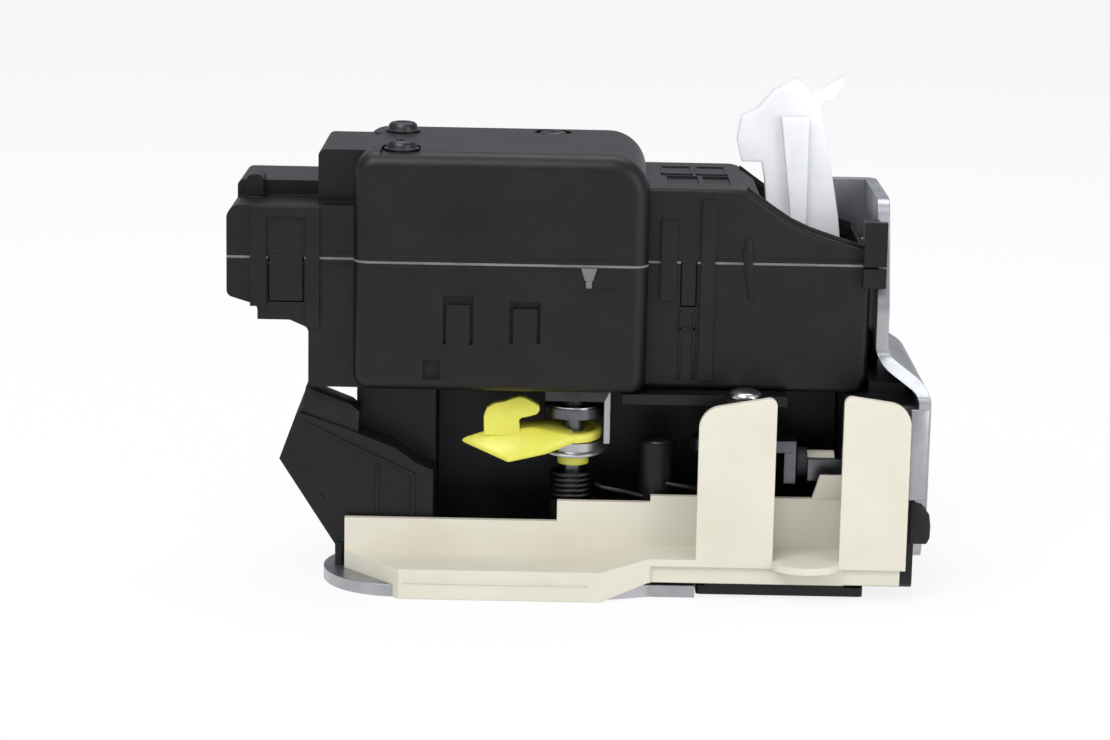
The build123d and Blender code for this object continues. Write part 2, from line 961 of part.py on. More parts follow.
def make_motor_terminals():
    """Two flat blades that stand out of the motor's end cap."""
    with BuildPart() as motor_terminals:
        for side in (-1, 1):
            with BuildSketch(end_plane(can_left_x - seat)):
                with Locations((motor_y + side * terminal_y, terminal_z())):
                    Rectangle(pin_size, 2 * wall)
            extrude(amount=-2 * cap_t)
    return motor_terminals


def make_rotor():
    """Slotted armature core with its commutator."""
    with BuildPart() as rotor:
        with BuildSketch(end_plane(core_left_x)):
            with Locations((motor_y, seam_z)):
                Circle(core_r)
            with Locations((motor_y, seam_z)):
                with PolarLocations(core_r - core_slot_depth / 2, core_slots):
                    Rectangle(core_slot_depth + over, core_slot_w, mode=Mode.SUBTRACT)
        extrude(amount=core_l)
        with BuildSketch(end_plane(core_left_x + over / 2)):
            with Locations((motor_y, seam_z)):
                Circle(commutator_r)
        extrude(amount=-commutator_l)
        with BuildSketch(end_plane(core_left_x - commutator_l - over)):
            with Locations((motor_y, seam_z)):
                Circle(shaft_r + seat)
        extrude(amount=core_l + commutator_l + 2 * over, mode=Mode.SUBTRACT)
    return rotor


def make_motor_shaft():
    with BuildPart() as motor_shaft:
        with BuildSketch(end_plane(shaft_left_x)):
            with Locations((motor_y, seam_z)):
                Circle(shaft_r)
        extrude(amount=bush_x() + bush_l - shaft_left_x)
    return motor_shaft


def make_worm():
    """Right-hand single-start worm; its thread meets the wheel's gap at rest."""
    pitch = pi * tooth_module
    length = worm_turns * pitch
    thread = worm_thread(pitch, length, wheel_x() - length / 2)
    with BuildPart() as worm:
        with BuildSketch(end_plane(wheel_x() - worm_hub_l / 2)):
            with Locations((motor_y, seam_z)):
                Circle(worm_core_r)
        extrude(amount=worm_hub_l)
        add(thread)
        with BuildSketch(end_plane(wheel_x() - worm_hub_l)):
            with Locations((motor_y, seam_z)):
                Circle(shaft_r + seat)
        extrude(amount=2 * worm_hub_l, mode=Mode.SUBTRACT)
    return worm


def worm_thread(pitch, length, start_x):
    """Thread swept along a helix about the shaft, starting below the axis."""
    tip_h = tooth_module * thread_tip_share
    root_h = worm_r - worm_core_r + thread_sink
    flank = tan(radians(pressure_deg))
    path = Helix(pitch=pitch, height=length, radius=worm_r, center=(0, 0, 0), direction=(0, 0, 1))
    half = worm_thread_w / 2
    section_plane = Plane(origin=(worm_r, 0, 0), x_dir=(1, 0, 0), z_dir=(0, 1, 0))
    outline = Polygon(
        (-root_h, -half - root_h * flank),
        (tip_h, -half + tip_h * flank),
        (tip_h, half - tip_h * flank),
        (-root_h, half + root_h * flank),
        align=None,
    )
    thread = sweep(section_plane * outline, path=path, is_frenet=True)
    # The helix is made about Z; it is laid along X with its start straight below the axis.
    lay = Plane(origin=(start_x, motor_y, seam_z), x_dir=(0, 0, -1), z_dir=(1, 0, 0))
    return lay * thread


def make_worm_wheel():
    with BuildPart() as worm_wheel:
        centre = (wheel_x(), wheel_z())
        back = motor_y + wheel_w / 2
        step = 360.0 / wheel_teeth
        with BuildSketch(side_plane(back)):
            ring = gear_points(wheel_teeth, 90.0 + step / 2, wheel_teeth, backlash)
            Polygon(*turned(centre, ring), align=None)
        extrude(amount=wheel_w)
        with BuildSketch(side_plane(back + gap + pinion_w)):
            ring = gear_points(pinion_teeth, mesh_deg(), pinion_teeth, backlash)
            Polygon(*turned(centre, ring), align=None)
        extrude(amount=pinion_w + gap)
        with BuildSketch(side_plane(back - wheel_w)):
            with Locations(centre):
                Circle(wheel_hub_r)
        extrude(amount=wheel_w)
        with BuildSketch(side_plane(back_y)):
            with Locations(centre):
                Circle(axle_r + fit)
        extrude(amount=2 * back_y, mode=Mode.SUBTRACT)
    return worm_wheel


def make_axle(x, z, r):
    with BuildPart() as axle:
        with BuildSketch(side_plane(back_y - wall)):
            with Locations((x, z)):
                Circle(r)
        extrude(amount=back_y - right_front_y - 2 * wall)
    return axle


def make_worm_bearing():
    with BuildPart() as worm_bearing:
        with BuildSketch(end_plane(bush_x())):
            with Locations((motor_y, seam_z)):
                Circle(bush_r)
                Circle(shaft_r + fit, mode=Mode.SUBTRACT)
        extrude(amount=bush_l)
    return worm_bearing


# Lock lever


def make_lock_lever():
    front = lever_front_y()
    back = front + lock_lever_t
    centre = (lock_x, lock_z)
    with BuildPart() as lock_lever:
        with BuildSketch(side_plane(back)):
            Polygon(*traced(centre, lever_span, lever_shares), align=None)
            with Locations(centre):
                Circle(lock_hub_r)
        extrude(amount=lock_lever_t)
        # Toothed sector that meshes with the pinion
        step = 360.0 / sector_teeth
        toward = mesh_deg() + 180.0
        with BuildSketch(side_plane(back)):
            ring = gear_points(sector_teeth, toward - step / 2, sector_ring, backlash)
            Polygon(centre, *turned(centre, ring), align=None)
        extrude(amount=lock_lever_t)
        # Cam that the lock switch rides on
        with BuildSketch(side_plane(back + lock_cam_t)):
            with Locations(centre):
                Circle(lock_cam_r)
        extrude(amount=lock_cam_t)
        # Stiffening ribs on both faces of the upper blade
        with BuildSketch(side_plane(back + wall)):
            Polygon(*blade_rib(), align=None)
        extrude(amount=lock_lever_t + 2 * wall)
        with BuildSketch(side_plane(back_y)):
            with Locations(centre):
                Circle(lock_axle_r + fit)
        extrude(amount=2 * back_y, mode=Mode.SUBTRACT)
    return lock_lever


def blade_rib():
    """Upright rib along the middle of the blade, up to the paddle."""
    foot_z = slope_end_z + wall
    return [
        (lock_x - lock_hub_r, foot_z),
        (lock_x - lock_hub_r / 2, foot_z),
        (lock_x - lock_hub_r / 2, seam_z + screw_l),
        (lock_x - lock_hub_r * lever_rib_share, seam_z + screw_l),
    ]


# Switches


def switch_x():
    return lock_x - switch_l / 8


def switch_y():
    return lever_front_y() + lock_lever_t + lock_cam_t / 2


def lock_switch_top_z():
    return floor_z + wall + switch_seat_h + switch_h


def make_lock_switch():
    with BuildPart() as lock_switch:
        with BuildSketch(level(floor_z + wall + switch_seat_h)):
            with Locations((switch_x(), switch_y())):
                Rectangle(switch_l, switch_w)
        extrude(amount=switch_h)
        with BuildSketch(level(lock_switch_top_z())):
            with Locations((lock_x, switch_y())):
                Rectangle(plunger_l + 2 * fit, plunger_w + 2 * fit)
        extrude(amount=-plunger_travel - 2 * gap, mode=Mode.SUBTRACT)
    return lock_switch


def make_lock_switch_plunger():
    with BuildPart() as plunger:
        bottom = lock_switch_top_z() - gap
        top = lock_z - lock_cam_r - gap
        with BuildSketch(level(bottom)):
            with Locations((lock_x, switch_y())):
                Rectangle(plunger_l, plunger_w)
        extrude(amount=top - bottom)
    return plunger


def claw_switch_x():
    return claw_front_x - claw_t / 2


def claw_switch_z():
    return claw_z + sqrt((claw_r + gap) ** 2 - (claw_y - claw_switch_y) ** 2) + plunger_travel + gap


def make_claw_switch():
    with BuildPart() as claw_switch:
        with BuildSketch(level(claw_switch_z())):
            with Locations((claw_switch_x(), claw_switch_y)):
                Rectangle(claw_switch_w, claw_switch_l)
        extrude(amount=claw_switch_h)
        with BuildSketch(level(claw_switch_z())):
            with Locations((claw_switch_x(), claw_switch_y)):
                Rectangle(plunger_w + 2 * fit, plunger_l + 2 * fit)
        extrude(amount=plunger_travel + 2 * gap, mode=Mode.SUBTRACT)
    return claw_switch


def make_claw_switch_plunger():
    with BuildPart() as plunger:
        with BuildSketch(level(claw_switch_z() + gap)):
            with Locations((claw_switch_x(), claw_switch_y)):
                Rectangle(plunger_w, plunger_l)
        extrude(amount=-plunger_travel - gap)
    return plunger


# Steel frame


def make_face_plate():
    with BuildPart() as face_plate:
        # Dished profile, bent over at the shoulder
        with BuildSketch(side_plane(back_y)):
            rounded(
                (0, plate_foot_z, 0),
                (0, dish_top_z, dish_r),
                (-dish_depth, dish_foot_z, dish_r - sheet_t),
                (-dish_depth, plate_top_z, 0),
                (-dish_depth - sheet_t, plate_top_z, 0),
                (-dish_depth - sheet_t, dish_foot_z - sheet_t / 2, dish_r),
                (-sheet_t, dish_top_z - sheet_t / 2, dish_r - sheet_t),
                (-sheet_t, plate_foot_z, 0),
            )
        extrude(amount=back_y - plate_w_front_y)
        # Outline seen from the front
        with BuildSketch(end_plane(-dish_depth - back_flange_l)):
            rounded(
                (plate_w_front_y, plate_cut_z, plate_cut_r),
                (plate_cut_y, plate_foot_z, wall),
                (back_y, plate_foot_z, plate_corner_r),
                (back_y, plate_top_z, 0),
                (neck_front_y + neck_r, plate_top_z, plate_top_r),
                (neck_front_y, right_foot_z + neck_r * 2, neck_r),
                (neck_front_y, dish_foot_z, wall),
                (plate_w_front_y, dish_top_z - wall, wall),
            )
        extrude(amount=dish_depth + back_flange_l + over, mode=Mode.INTERSECT)
        # Flange bent back behind the lock lever
        with BuildSketch(level(back_flange_foot_z)):
            rounded(
                (-dish_depth, back_y, 0),
                (-dish_depth, back_y + sheet_t + fit, sheet_t),
                (-dish_depth - back_flange_l, back_y + sheet_t + fit, 0),
                (-dish_depth - back_flange_l, back_y + fit, 0),
                (-dish_depth - sheet_t, back_y + fit, 0),
                (-dish_depth - sheet_t, back_y, 0),
            )
        extrude(amount=plate_top_z - back_flange_foot_z)
        # Striker mouth
        with BuildSketch(end_plane(-sheet_t - over)):
            with Locations((0, mouth_z)):
                Circle(mouth_cut_r)
            panel(-mouth_cut_r, mouth_cut_r, plate_foot_z - over, mouth_z)
        extrude(amount=sheet_t + 2 * over, mode=Mode.SUBTRACT)
        # Extruded collars and their threaded holes
        with BuildSketch(end_plane(-sheet_t)):
            with Locations(*fixing_places):
                Circle(fixing_collar_r)
        extrude(amount=-fixing_collar_l)
        with BuildSketch(end_plane(-sheet_t - fixing_collar_l - over)):
            with Locations(*fixing_places):
                Circle(fixing_r)
        extrude(amount=sheet_t + fixing_collar_l + 2 * over, mode=Mode.SUBTRACT)
        # Rivet holes of the two pins
        with BuildSketch(end_plane(-sheet_t - over)):
            with Locations((claw_y, claw_z)):
                Circle(claw_pin_r + seat)
            with Locations((pawl_y, pawl_z)):
                Circle(pawl_pin_r + seat)
        extrude(amount=sheet_t + 2 * over, mode=Mode.SUBTRACT)
        # Counterbores that take their riveted heads
        with BuildSketch(end_plane(-rivet_head_h)):
            for place, r in pin_places():
                with Locations(place):
                    Circle(r + over + seat)
        extrude(amount=rivet_head_h + over, mode=Mode.SUBTRACT)
    return face_plate


def make_mouth_liner():
    """Plastic lip round the striker mouth, with a flange behind the plate."""
    with BuildPart() as mouth_liner:
        outer_r = mouth_cut_r - seat
        with BuildSketch(end_plane(-sheet_t - wall)):
            with Locations((0, mouth_z)):
                Circle(outer_r)
            panel(-outer_r, outer_r, plate_foot_z + wall, mouth_z)
        extrude(amount=sheet_t + wall + liner_out)
        with BuildSketch(end_plane(-sheet_t)):
            with Locations((0, mouth_z)):
                Circle(outer_r + liner_flange)
            panel(-outer_r - liner_flange, outer_r + liner_flange, plate_foot_z + wall, mouth_z)
            for y, z, r in ((claw_y, claw_z, claw_pin_r), (pawl_y, pawl_z, pawl_pin_r)):
                with Locations((y, z)):
                    Circle(r + gap, mode=Mode.SUBTRACT)
        extrude(amount=-wall)
        with BuildSketch(end_plane(-sheet_t - wall - over)):
            with Locations((0, mouth_z)):
                Circle(mouth_clear_r)
            panel(-mouth_clear_r, mouth_clear_r, plate_foot_z - over, mouth_z)
        extrude(amount=sheet_t + wall + liner_out + 2 * over, mode=Mode.SUBTRACT)
        chamfer(mouth_liner.edges().filter_by_position(Axis.X, liner_out, liner_out), length=liner_t / 3)
    return mouth_liner


def pin_places():
    """Claw and pawl pins as place and radius."""
    return [((claw_y, claw_z), claw_pin_r), ((pawl_y, pawl_z), pawl_pin_r)]


def tab_window():
    """Opening that the pawl's tab swings in, as Y and Z ranges."""
    down, up = tab_swing_shares
    return (pawl_y - down * tab_t, pawl_y + up * tab_t, tab_foot_z - tab_t / 2, tab_top_z + tab_t)


def make_claw_housing():
    half = claw_house_w / 2
    outer_back = pocket_back_x - claw_house_floor
    with BuildPart() as claw_housing:
        with BuildSketch(end_plane(outer_back)):
            rounded(
                (-half, deck_z, wall),
                (half, deck_z, wall),
                (half, floor_z, wall),
                (-half, floor_z, wall),
            )
        extrude(amount=-sheet_t - outer_back)
        # Ledge over the dish, beside the housing
        with BuildSketch(level(floor_z - wall)):
            panel(right_x + gap, ledge_right_x, ledge_front_y, ledge_back_y)
        extrude(amount=ledge_top_z - floor_z + wall)
        # Pocket for claw and pawl, open towards the plate
        with BuildSketch(end_plane(pocket_back_x)):
            panel(
                -half + claw_house_wall,
                half - claw_house_wall,
                deck_z + wall,
                floor_z - claw_house_roof,
            )
        extrude(amount=pocket_front_x - pocket_back_x, mode=Mode.SUBTRACT)
        with BuildSketch(end_plane(pocket_front_x)):
            panel(
                -half + claw_house_wall,
                half - claw_house_wall,
                plate_foot_z + wall / 2,
                floor_z - claw_house_roof,
            )
        extrude(amount=-pocket_front_x, mode=Mode.SUBTRACT)
        # Solid corner behind the plate's cut corner
        with BuildSketch(end_plane(outer_back)):
            Polygon(
                (-half + wall, plate_cut_z - wall),
                (plate_cut_y - wall, deck_z + wall / 2),
                (-half + wall, deck_z + wall / 2),
                align=None,
            )
        extrude(amount=-sheet_t - outer_back)
        # Bed of the claw switch
        with BuildSketch(level(floor_z - 2 * wall)):
            with Locations((claw_switch_x(), claw_switch_y)):
                Rectangle(claw_switch_w + 2 * seat, claw_switch_l + 2 * seat)
        bed_h = claw_switch_z() + claw_switch_h + seat - floor_z + 2 * wall
        extrude(amount=bed_h, mode=Mode.SUBTRACT)
        # Striker mouth through the bottom wall
        with BuildSketch(level(deck_z - over)):
            panel(pocket_back_x, over, -mouth_clear_r, mouth_clear_r)
        extrude(amount=plate_foot_z + wall + over - deck_z, mode=Mode.SUBTRACT)
        # Room for the plate's collars
        with BuildSketch(end_plane(-sheet_t - fixing_collar_l - gap)):
            with Locations(*fixing_places):
                Circle(fixing_collar_r + gap)
        extrude(amount=fixing_collar_l + gap + over, mode=Mode.SUBTRACT)
        # Pin holes and the window of the pawl's tab
        with BuildSketch(end_plane(outer_back - over)):
            for place, r in pin_places():
                with Locations(place):
                    Circle(r + seat)
            panel(*tab_window())
        extrude(amount=claw_house_floor + 2 * over, mode=Mode.SUBTRACT)
    return claw_housing


def make_back_plate():
    back_x = pocket_back_x - claw_house_floor
    half = claw_house_w / 2
    with BuildPart() as back_plate:
        with BuildSketch(end_plane(back_x)):
            rounded(
                (-half + wall, deck_z, 0),
                (half - wall, deck_z, 0),
                (half - wall, floor_z - gap, wall),
                (-half + wall, floor_z - gap, wall),
            )
            for place, r in pin_places():
                with Locations(place):
                    Circle(r + seat, mode=Mode.SUBTRACT)
        extrude(amount=-back_sheet_t)
        with BuildSketch(end_plane(back_x - back_sheet_t - over)):
            panel(*tab_window())
        extrude(amount=back_sheet_t + 2 * over, mode=Mode.SUBTRACT)
        with BuildSketch(end_plane(back_x - back_sheet_t - over)):
            with Locations((0, mouth_z)):
                Circle(mouth_clear_r)
            panel(-mouth_clear_r, mouth_clear_r, deck_z + wall, mouth_z)
        extrude(amount=back_sheet_t + 2 * over, mode=Mode.SUBTRACT)
    return back_plate


def make_pin(place, r):
    """Riveted pin from the back plate, its head sunk flush in the face plate."""
    back_x = pocket_back_x - claw_house_floor - back_sheet_t
    with BuildPart() as pin:
        with BuildSketch(end_plane(back_x)):
            with Locations(place):
                Circle(r)
        extrude(amount=-seat - back_x)
        with BuildSketch(end_plane(seat - rivet_head_h)):
            with Locations(place):
                Circle(r + over)
        extrude(amount=rivet_head_h - 2 * seat)
    return pin


def open_deg():
    """Direction from the claw's pin to its throat with the claw open, in the YZ plane."""
    return degrees(atan2(striker_z - claw_z, -claw_y)) % 360 + claw_swing


def throat_place():
    reach = sqrt(claw_y**2 + (striker_z - claw_z) ** 2)
    return polar((claw_y, claw_z), reach, open_deg())


def throat_sketch(r):
    """Round-ended slot from the claw's throat out past its rim."""
    x, y = throat_place()
    away = polar((x, y), 2 * throat_r, open_deg())
    turn = open_deg()
    with Locations((x, y)):
        Circle(r)
    with Locations(Location(((x + away[0]) / 2, (y + away[1]) / 2, 0), turn)):
        Rectangle(2 * throat_r, 2 * r)


def claw_disc(r):
    """Claw outline without its throat: rim segment and hub."""
    centre = (claw_y, claw_z)
    far = 2 * claw_r
    with Locations(centre):
        Circle(r)
    spread = [hook_end_deg + k * (360 + arm_start_deg - hook_end_deg) / 4 for k in range(5)]
    Polygon(centre, *[polar(centre, far, a) for a in spread], align=None, mode=Mode.SUBTRACT)
    with Locations(centre):
        Circle(claw_hub_r)


def make_claw():
    centre = (claw_y, claw_z)
    with BuildPart() as claw:
        with BuildSketch(end_plane(claw_front_x)) as outline:
            claw_disc(claw_r)
            notch = [
                polar(centre, claw_r - notch_depth, notch_start_deg),
                polar(centre, claw_r + over, notch_start_deg),
                polar(centre, claw_r + over, notch_end_deg),
            ]
            Polygon(*notch, align=None, mode=Mode.SUBTRACT)
        extrude(amount=-claw_t)
        with BuildSketch(end_plane(claw_front_x + over)):
            throat_sketch(throat_r)
        extrude(amount=-claw_t - 2 * over, mode=Mode.SUBTRACT)
        with BuildSketch(end_plane(claw_front_x + over)):
            with Locations(centre):
                Circle(claw_pin_r + fit)
        extrude(amount=-claw_t - 2 * over, mode=Mode.SUBTRACT)
    return claw


def make_claw_jacket():
    """Plastic lining of the throat that quietens the striker."""
    with BuildPart() as claw_jacket:
        with BuildSketch(end_plane(claw_front_x)):
            claw_disc(claw_r)
        extrude(amount=-claw_t)
        with BuildSketch(end_plane(claw_front_x)):
            throat_sketch(throat_r - seat)
        extrude(amount=-claw_t, mode=Mode.INTERSECT)
        with BuildSketch(end_plane(claw_front_x + over)):
            throat_sketch(throat_r - jacket_t)
        extrude(amount=-claw_t - 2 * over, mode=Mode.SUBTRACT)
    return claw_jacket


def pawl_reach():
    """Length and direction from the pawl's pin to where its tip lies on the claw's rim."""
    dy, dz = claw_y - pawl_y, claw_z - pawl_z
    between = sqrt(dy**2 + dz**2)
    rim = claw_r + gap
    return sqrt(between**2 - rim**2), degrees(atan2(dz, dy) + asin(rim / between))


def make_pawl():
    centre = (pawl_y, pawl_z)
    length, turn = pawl_reach()
    tip = polar(centre, length, turn)
    tip_out = polar(tip, pawl_w, turn + 90)
    hub_out = polar(centre, pawl_w, turn + 90)
    with BuildPart() as pawl:
        with BuildSketch(end_plane(claw_front_x)):
            with Locations(centre):
                Circle(pawl_hub_r)
            Polygon(centre, tip, tip_out, hub_out, align=None)
        extrude(amount=-claw_t)
        # Tab that the release lever pushes, bent back through the back plate
        left = release_stub_y - release_bush_r - gap - fit - tab_t
        with BuildSketch(end_plane(claw_front_x)):
            panel(left, left + tab_t, tab_foot_z, tab_top_z)
        extrude(amount=tab_back_x - claw_front_x)
        with BuildSketch(end_plane(claw_front_x + over)):
            with Locations(centre):
                Circle(pawl_pin_r + fit)
        extrude(amount=-claw_t - 2 * over, mode=Mode.SUBTRACT)
    return pawl


def make_mouth_buffer():
    """Rubber block that stops the striker at the closed end of the mouth."""
    top = mouth_z + mouth_clear_r
    with BuildPart() as mouth_buffer:
        with BuildSketch(end_plane(pocket_back_x)):
            rounded(
                (-mouth_clear_r + liner_t, top, 0),
                (mouth_clear_r - liner_t, top, 0),
                (mouth_clear_r - liner_t, top + 2 * wall, liner_t),
                (-mouth_clear_r + liner_t, top + 2 * wall, liner_t),
            )
        extrude(amount=claw_front_x - claw_t - gap - pocket_back_x)
    return mouth_buffer


def coil(radius, wire_r, turns, pitch):
    """Round-wire helix about Z, standing on the plane z = 0."""
    height = turns * pitch
    path = Helix(pitch=pitch, height=height, radius=radius, center=(0, 0, 0), direction=(0, 0, 1))
    section = Plane(origin=(radius, 0, 0), x_dir=(1, 0, 0), z_dir=(0, 1, 0)) * Circle(wire_r)
    leg = Pos(radius, -spring_leg / 2, 0) * Rot(90, 0, 0) * Cylinder(wire_r, spring_leg)
    body = sweep(section, path=path, is_frenet=True)
    return Pos(0, 0, wire_r) * (body + leg)


def make_flat_spring(place, radius, first_x):
    """Torsion spring round a claw or pawl pin, lying on the pocket's floor."""
    lay = Plane(origin=(first_x, place[0], place[1]), x_dir=(0, 1, 0), z_dir=(1, 0, 0))
    wire = lay * coil(radius, claw_wire_r, claw_coil_turns, coil_pitch)
    with BuildPart() as spring:
        add(wire)
    return spring


def make_lever_spring(x, y, foot_z, turns):
    """Upright torsion spring round a lever pin."""
    wire = Pos(x, y, foot_z) * coil(lever_coil_r, lever_wire_r, turns, coil_pitch)
    with BuildPart() as spring:
        add(wire)
    return spring


# Levers under the housing


def make_exterior_pin():
    with BuildPart() as exterior_pin:
        place = (exterior_x, exterior_y)
        with BuildSketch(level(deck_z + frame_floor_t)):
            with Locations(place):
                Circle(lever_pin_r)
        extrude(amount=bracket_z() - deck_z - frame_floor_t)
        with BuildSketch(level(flange_disc_top_z)):
            with Locations(place):
                Circle(flange_disc_r)
        extrude(amount=-flange_disc_t)
    return exterior_pin


def bracket_z():
    return floor_z - sheet_t


def make_pin_bracket():
    """Steel bracket under the housing that holds the pin's top, with a bent-down tab."""
    right = exterior_x + flange_disc_r + sheet_t / 2
    with BuildPart() as pin_bracket:
        with BuildSketch(level(bracket_z())):
            panel(bracket_left_x, right, exterior_y - flange_disc_r, exterior_y + flange_disc_r)
        extrude(amount=sheet_t)
        with BuildSketch(level(bracket_z())):
            panel(right - sheet_t / 2, right, exterior_y - flange_disc_r, exterior_y)
        extrude(amount=bracket_tab_foot_z - bracket_z())
    return pin_bracket


def make_exterior_lever():
    place = (exterior_x, exterior_y)
    foot = exterior_top_z - exterior_t
    front = exterior_y - exterior_eye_r
    with BuildPart() as exterior_lever:
        with BuildSketch(level(foot)):
            with Locations(place):
                Circle(exterior_eye_r)
            Polygon(
                (exterior_x, exterior_y + exterior_eye_r),
                (hook_x + hook_w, exterior_y + hook_w / 4),
                (hook_x, exterior_y - hook_w / 2),
                (blade_x, exterior_y - exterior_eye_r - hook_w / 2),
                (hook_x + hook_w, front - hook_w),
                (exterior_x - exterior_eye_r, front - hook_w / 4),
                (exterior_x, front),
                align=None,
            )
        extrude(amount=exterior_t)
        # Wedge along the front edge, with its face sloping down to the front
        wedge_origin = (blade_x + wedge_span, 0)
        with BuildSketch(side_plane(wedge_back_y)):
            Polygon(*traced(wedge_origin, wedge_span, wedge_back_shares), align=None)
        with BuildSketch(side_plane(wedge_front_y)):
            Polygon(*traced(wedge_origin, wedge_span, wedge_front_shares), align=None)
        loft(ruled=True)
        # Rod hook, which curls over to the right
        with BuildSketch(side_plane(front + hook_w / 2)):
            Polygon(*traced((hook_x, foot), hook_span, hook_shares), align=None)
        extrude(amount=hook_t)
        # Hub tube below the plate
        with BuildSketch(level(foot)):
            with Locations(place):
                Circle(exterior_hub_r)
        extrude(amount=exterior_hub_foot_z - foot)
        with BuildSketch(level(exterior_hub_foot_z - over)):
            with Locations(place):
                Circle(lever_pin_r + fit)
        extrude(amount=exterior_top_z - exterior_hub_foot_z + 2 * over, mode=Mode.SUBTRACT)
    return exterior_lever


def make_lever_washer():
    place = (exterior_x, exterior_y)
    with BuildPart() as lever_washer:
        with BuildSketch(level(washer_top_z)):
            with Locations(place):
                Circle(washer_r)
                Circle(exterior_hub_r + seat, mode=Mode.SUBTRACT)
        extrude(amount=-washer_t)
    return lever_washer


def make_release_lever():
    place = (release_x, release_y)
    foot = release_top_z - sheet_t
    half = release_arm_w / 2
    bend_x = ring_left_x() - gap
    with BuildPart() as release_lever:
        with BuildSketch(level(foot)):
            with Locations(place):
                Circle(release_hub_r)
            rounded(
                (release_tail_x, release_y - half, half - gap),
                (release_x, release_y - half, 0),
                (bend_x, release_stub_y - half, 0),
                (bend_x, release_stub_y + half, 0),
                (release_x, release_y + half, 0),
                (release_tail_x, release_y + half, half - gap),
            )
        extrude(amount=sheet_t)
        # End bent down, with the stub that carries the bush
        with BuildSketch(end_plane(bend_x)):
            panel(release_stub_y - half, release_stub_y + half, release_stub_z - half, release_top_z)
        extrude(amount=-sheet_t)
        with BuildSketch(end_plane(bend_x - sheet_t / 2)):
            with Locations((release_stub_y, release_stub_z)):
                Circle(release_stub_r)
        extrude(amount=release_bush_right_x - bend_x + sheet_t / 2)
        with BuildSketch(level(foot - over)):
            with Locations(place):
                Circle(lever_pin_r + fit)
            with Locations((release_tail_x + half + wall, release_y)):
                Circle(lever_pin_r)
        extrude(amount=sheet_t + 2 * over, mode=Mode.SUBTRACT)
    return release_lever


def ring_left_x():
    return tab_back_x - ring_t


def make_release_bush():
    with BuildPart() as release_bush:
        with BuildSketch(end_plane(tab_back_x)):
            with Locations((release_stub_y, release_stub_z)):
                Circle(release_bush_r)
                Circle(release_stub_r + seat, mode=Mode.SUBTRACT)
        extrude(amount=release_bush_right_x - tab_back_x)
    return release_bush


def make_bush_ring():
    with BuildPart() as bush_ring:
        with BuildSketch(end_plane(ring_left_x())):
            with Locations((release_stub_y, release_stub_z)):
                Circle(ring_r)
                Circle(release_stub_r + seat, mode=Mode.SUBTRACT)
        extrude(amount=ring_t)
    return bush_ring


def make_release_pin():
    with BuildPart() as release_pin:
        with BuildSketch(level(deck_z + frame_floor_t)):
            with Locations((release_x, release_y)):
                Circle(lever_pin_r)
        extrude(amount=release_top_z + 2 * gap - deck_z - frame_floor_t)
        with BuildSketch(level(release_top_z + gap)):
            with Locations((release_x, release_y)):
                Circle(rivet_head_r)
        extrude(amount=sheet_t / 2)
    return release_pin


def make_frame_screw():
    """Dome-headed screw on the lug, down into the lever frame's post."""
    with BuildPart() as frame_screw:
        with BuildSketch(level(floor_z + seat)):
            with Locations((lug_x, lug_y)):
                Circle(dome_r)
        extrude(amount=dome_h)
        fillet(frame_screw.faces().sort_by(Axis.Z)[-1].edges(), radius=dome_h - gap)
        with BuildSketch(level(floor_z + seat)):
            with Locations((lug_x, lug_y)):
                Circle(screw_r)
        extrude(amount=-screw_l / 2)
    return frame_screw


# Frame, plates and covers under the levers


def pin_bosses():
    """The two lever pins' places."""
    return [(exterior_x, exterior_y), (release_x, release_y)]


def make_lever_frame():
    back = frame_wall_y + frame_wall_t
    floor_top = deck_z + frame_floor_t
    right = pocket_back_x - claw_house_floor - back_sheet_t - gap
    with BuildPart() as lever_frame:
        with BuildSketch(level(deck_z)):
            panel(frame_left_x, right, frame_front_y, back)
        extrude(amount=frame_floor_t)
        # Back wall up to the housing
        with BuildSketch(level(deck_z)):
            panel(frame_left_x, right, frame_wall_y, back)
        extrude(amount=floor_z - deck_z)
        # Bosses of the two pins and the stop boss between them
        with BuildSketch(level(floor_top)):
            with Locations(*pin_bosses()):
                Circle(pin_boss_r)
        extrude(amount=pin_boss_h)
        with BuildSketch(level(floor_top)):
            with Locations((stop_x, stop_y)):
                Circle(stop_r)
        extrude(amount=stop_top_z - floor_top)
        # Cross ribs from the back wall
        for x in (exterior_x, stop_x, release_x):
            with BuildSketch(level(floor_top)):
                panel(x - frame_rib_t / 2, x + frame_rib_t / 2, frame_front_y, frame_wall_y)
            extrude(amount=pin_boss_h / 2)
        # Front web and the post of the dome screw
        with BuildSketch(level(floor_top)):
            panel(lug_x - lug_r, lug_x + lug_r, frame_front_y, frame_front_y + screw_post_t)
        extrude(amount=lug_foot_z() - floor_top)
        with BuildSketch(level(lug_foot_z())):
            with Locations((lug_x, lug_y)):
                Circle(lug_r)
            panel(lug_x - lug_r, lug_x + lug_r, lug_y, frame_front_y + screw_post_t)
        extrude(amount=-screw_l / 2)
        with BuildSketch(level(floor_top)):
            with Locations(*pin_bosses()):
                Circle(lever_pin_r + seat)
        extrude(amount=pin_boss_h + over, mode=Mode.SUBTRACT)
        with BuildSketch(level(floor_z)):
            with Locations((lug_x, lug_y)):
                Circle(screw_r + seat)
        extrude(amount=-screw_l / 2, mode=Mode.SUBTRACT)
    return lever_frame


def lug_foot_z():
    return floor_z - flange_h


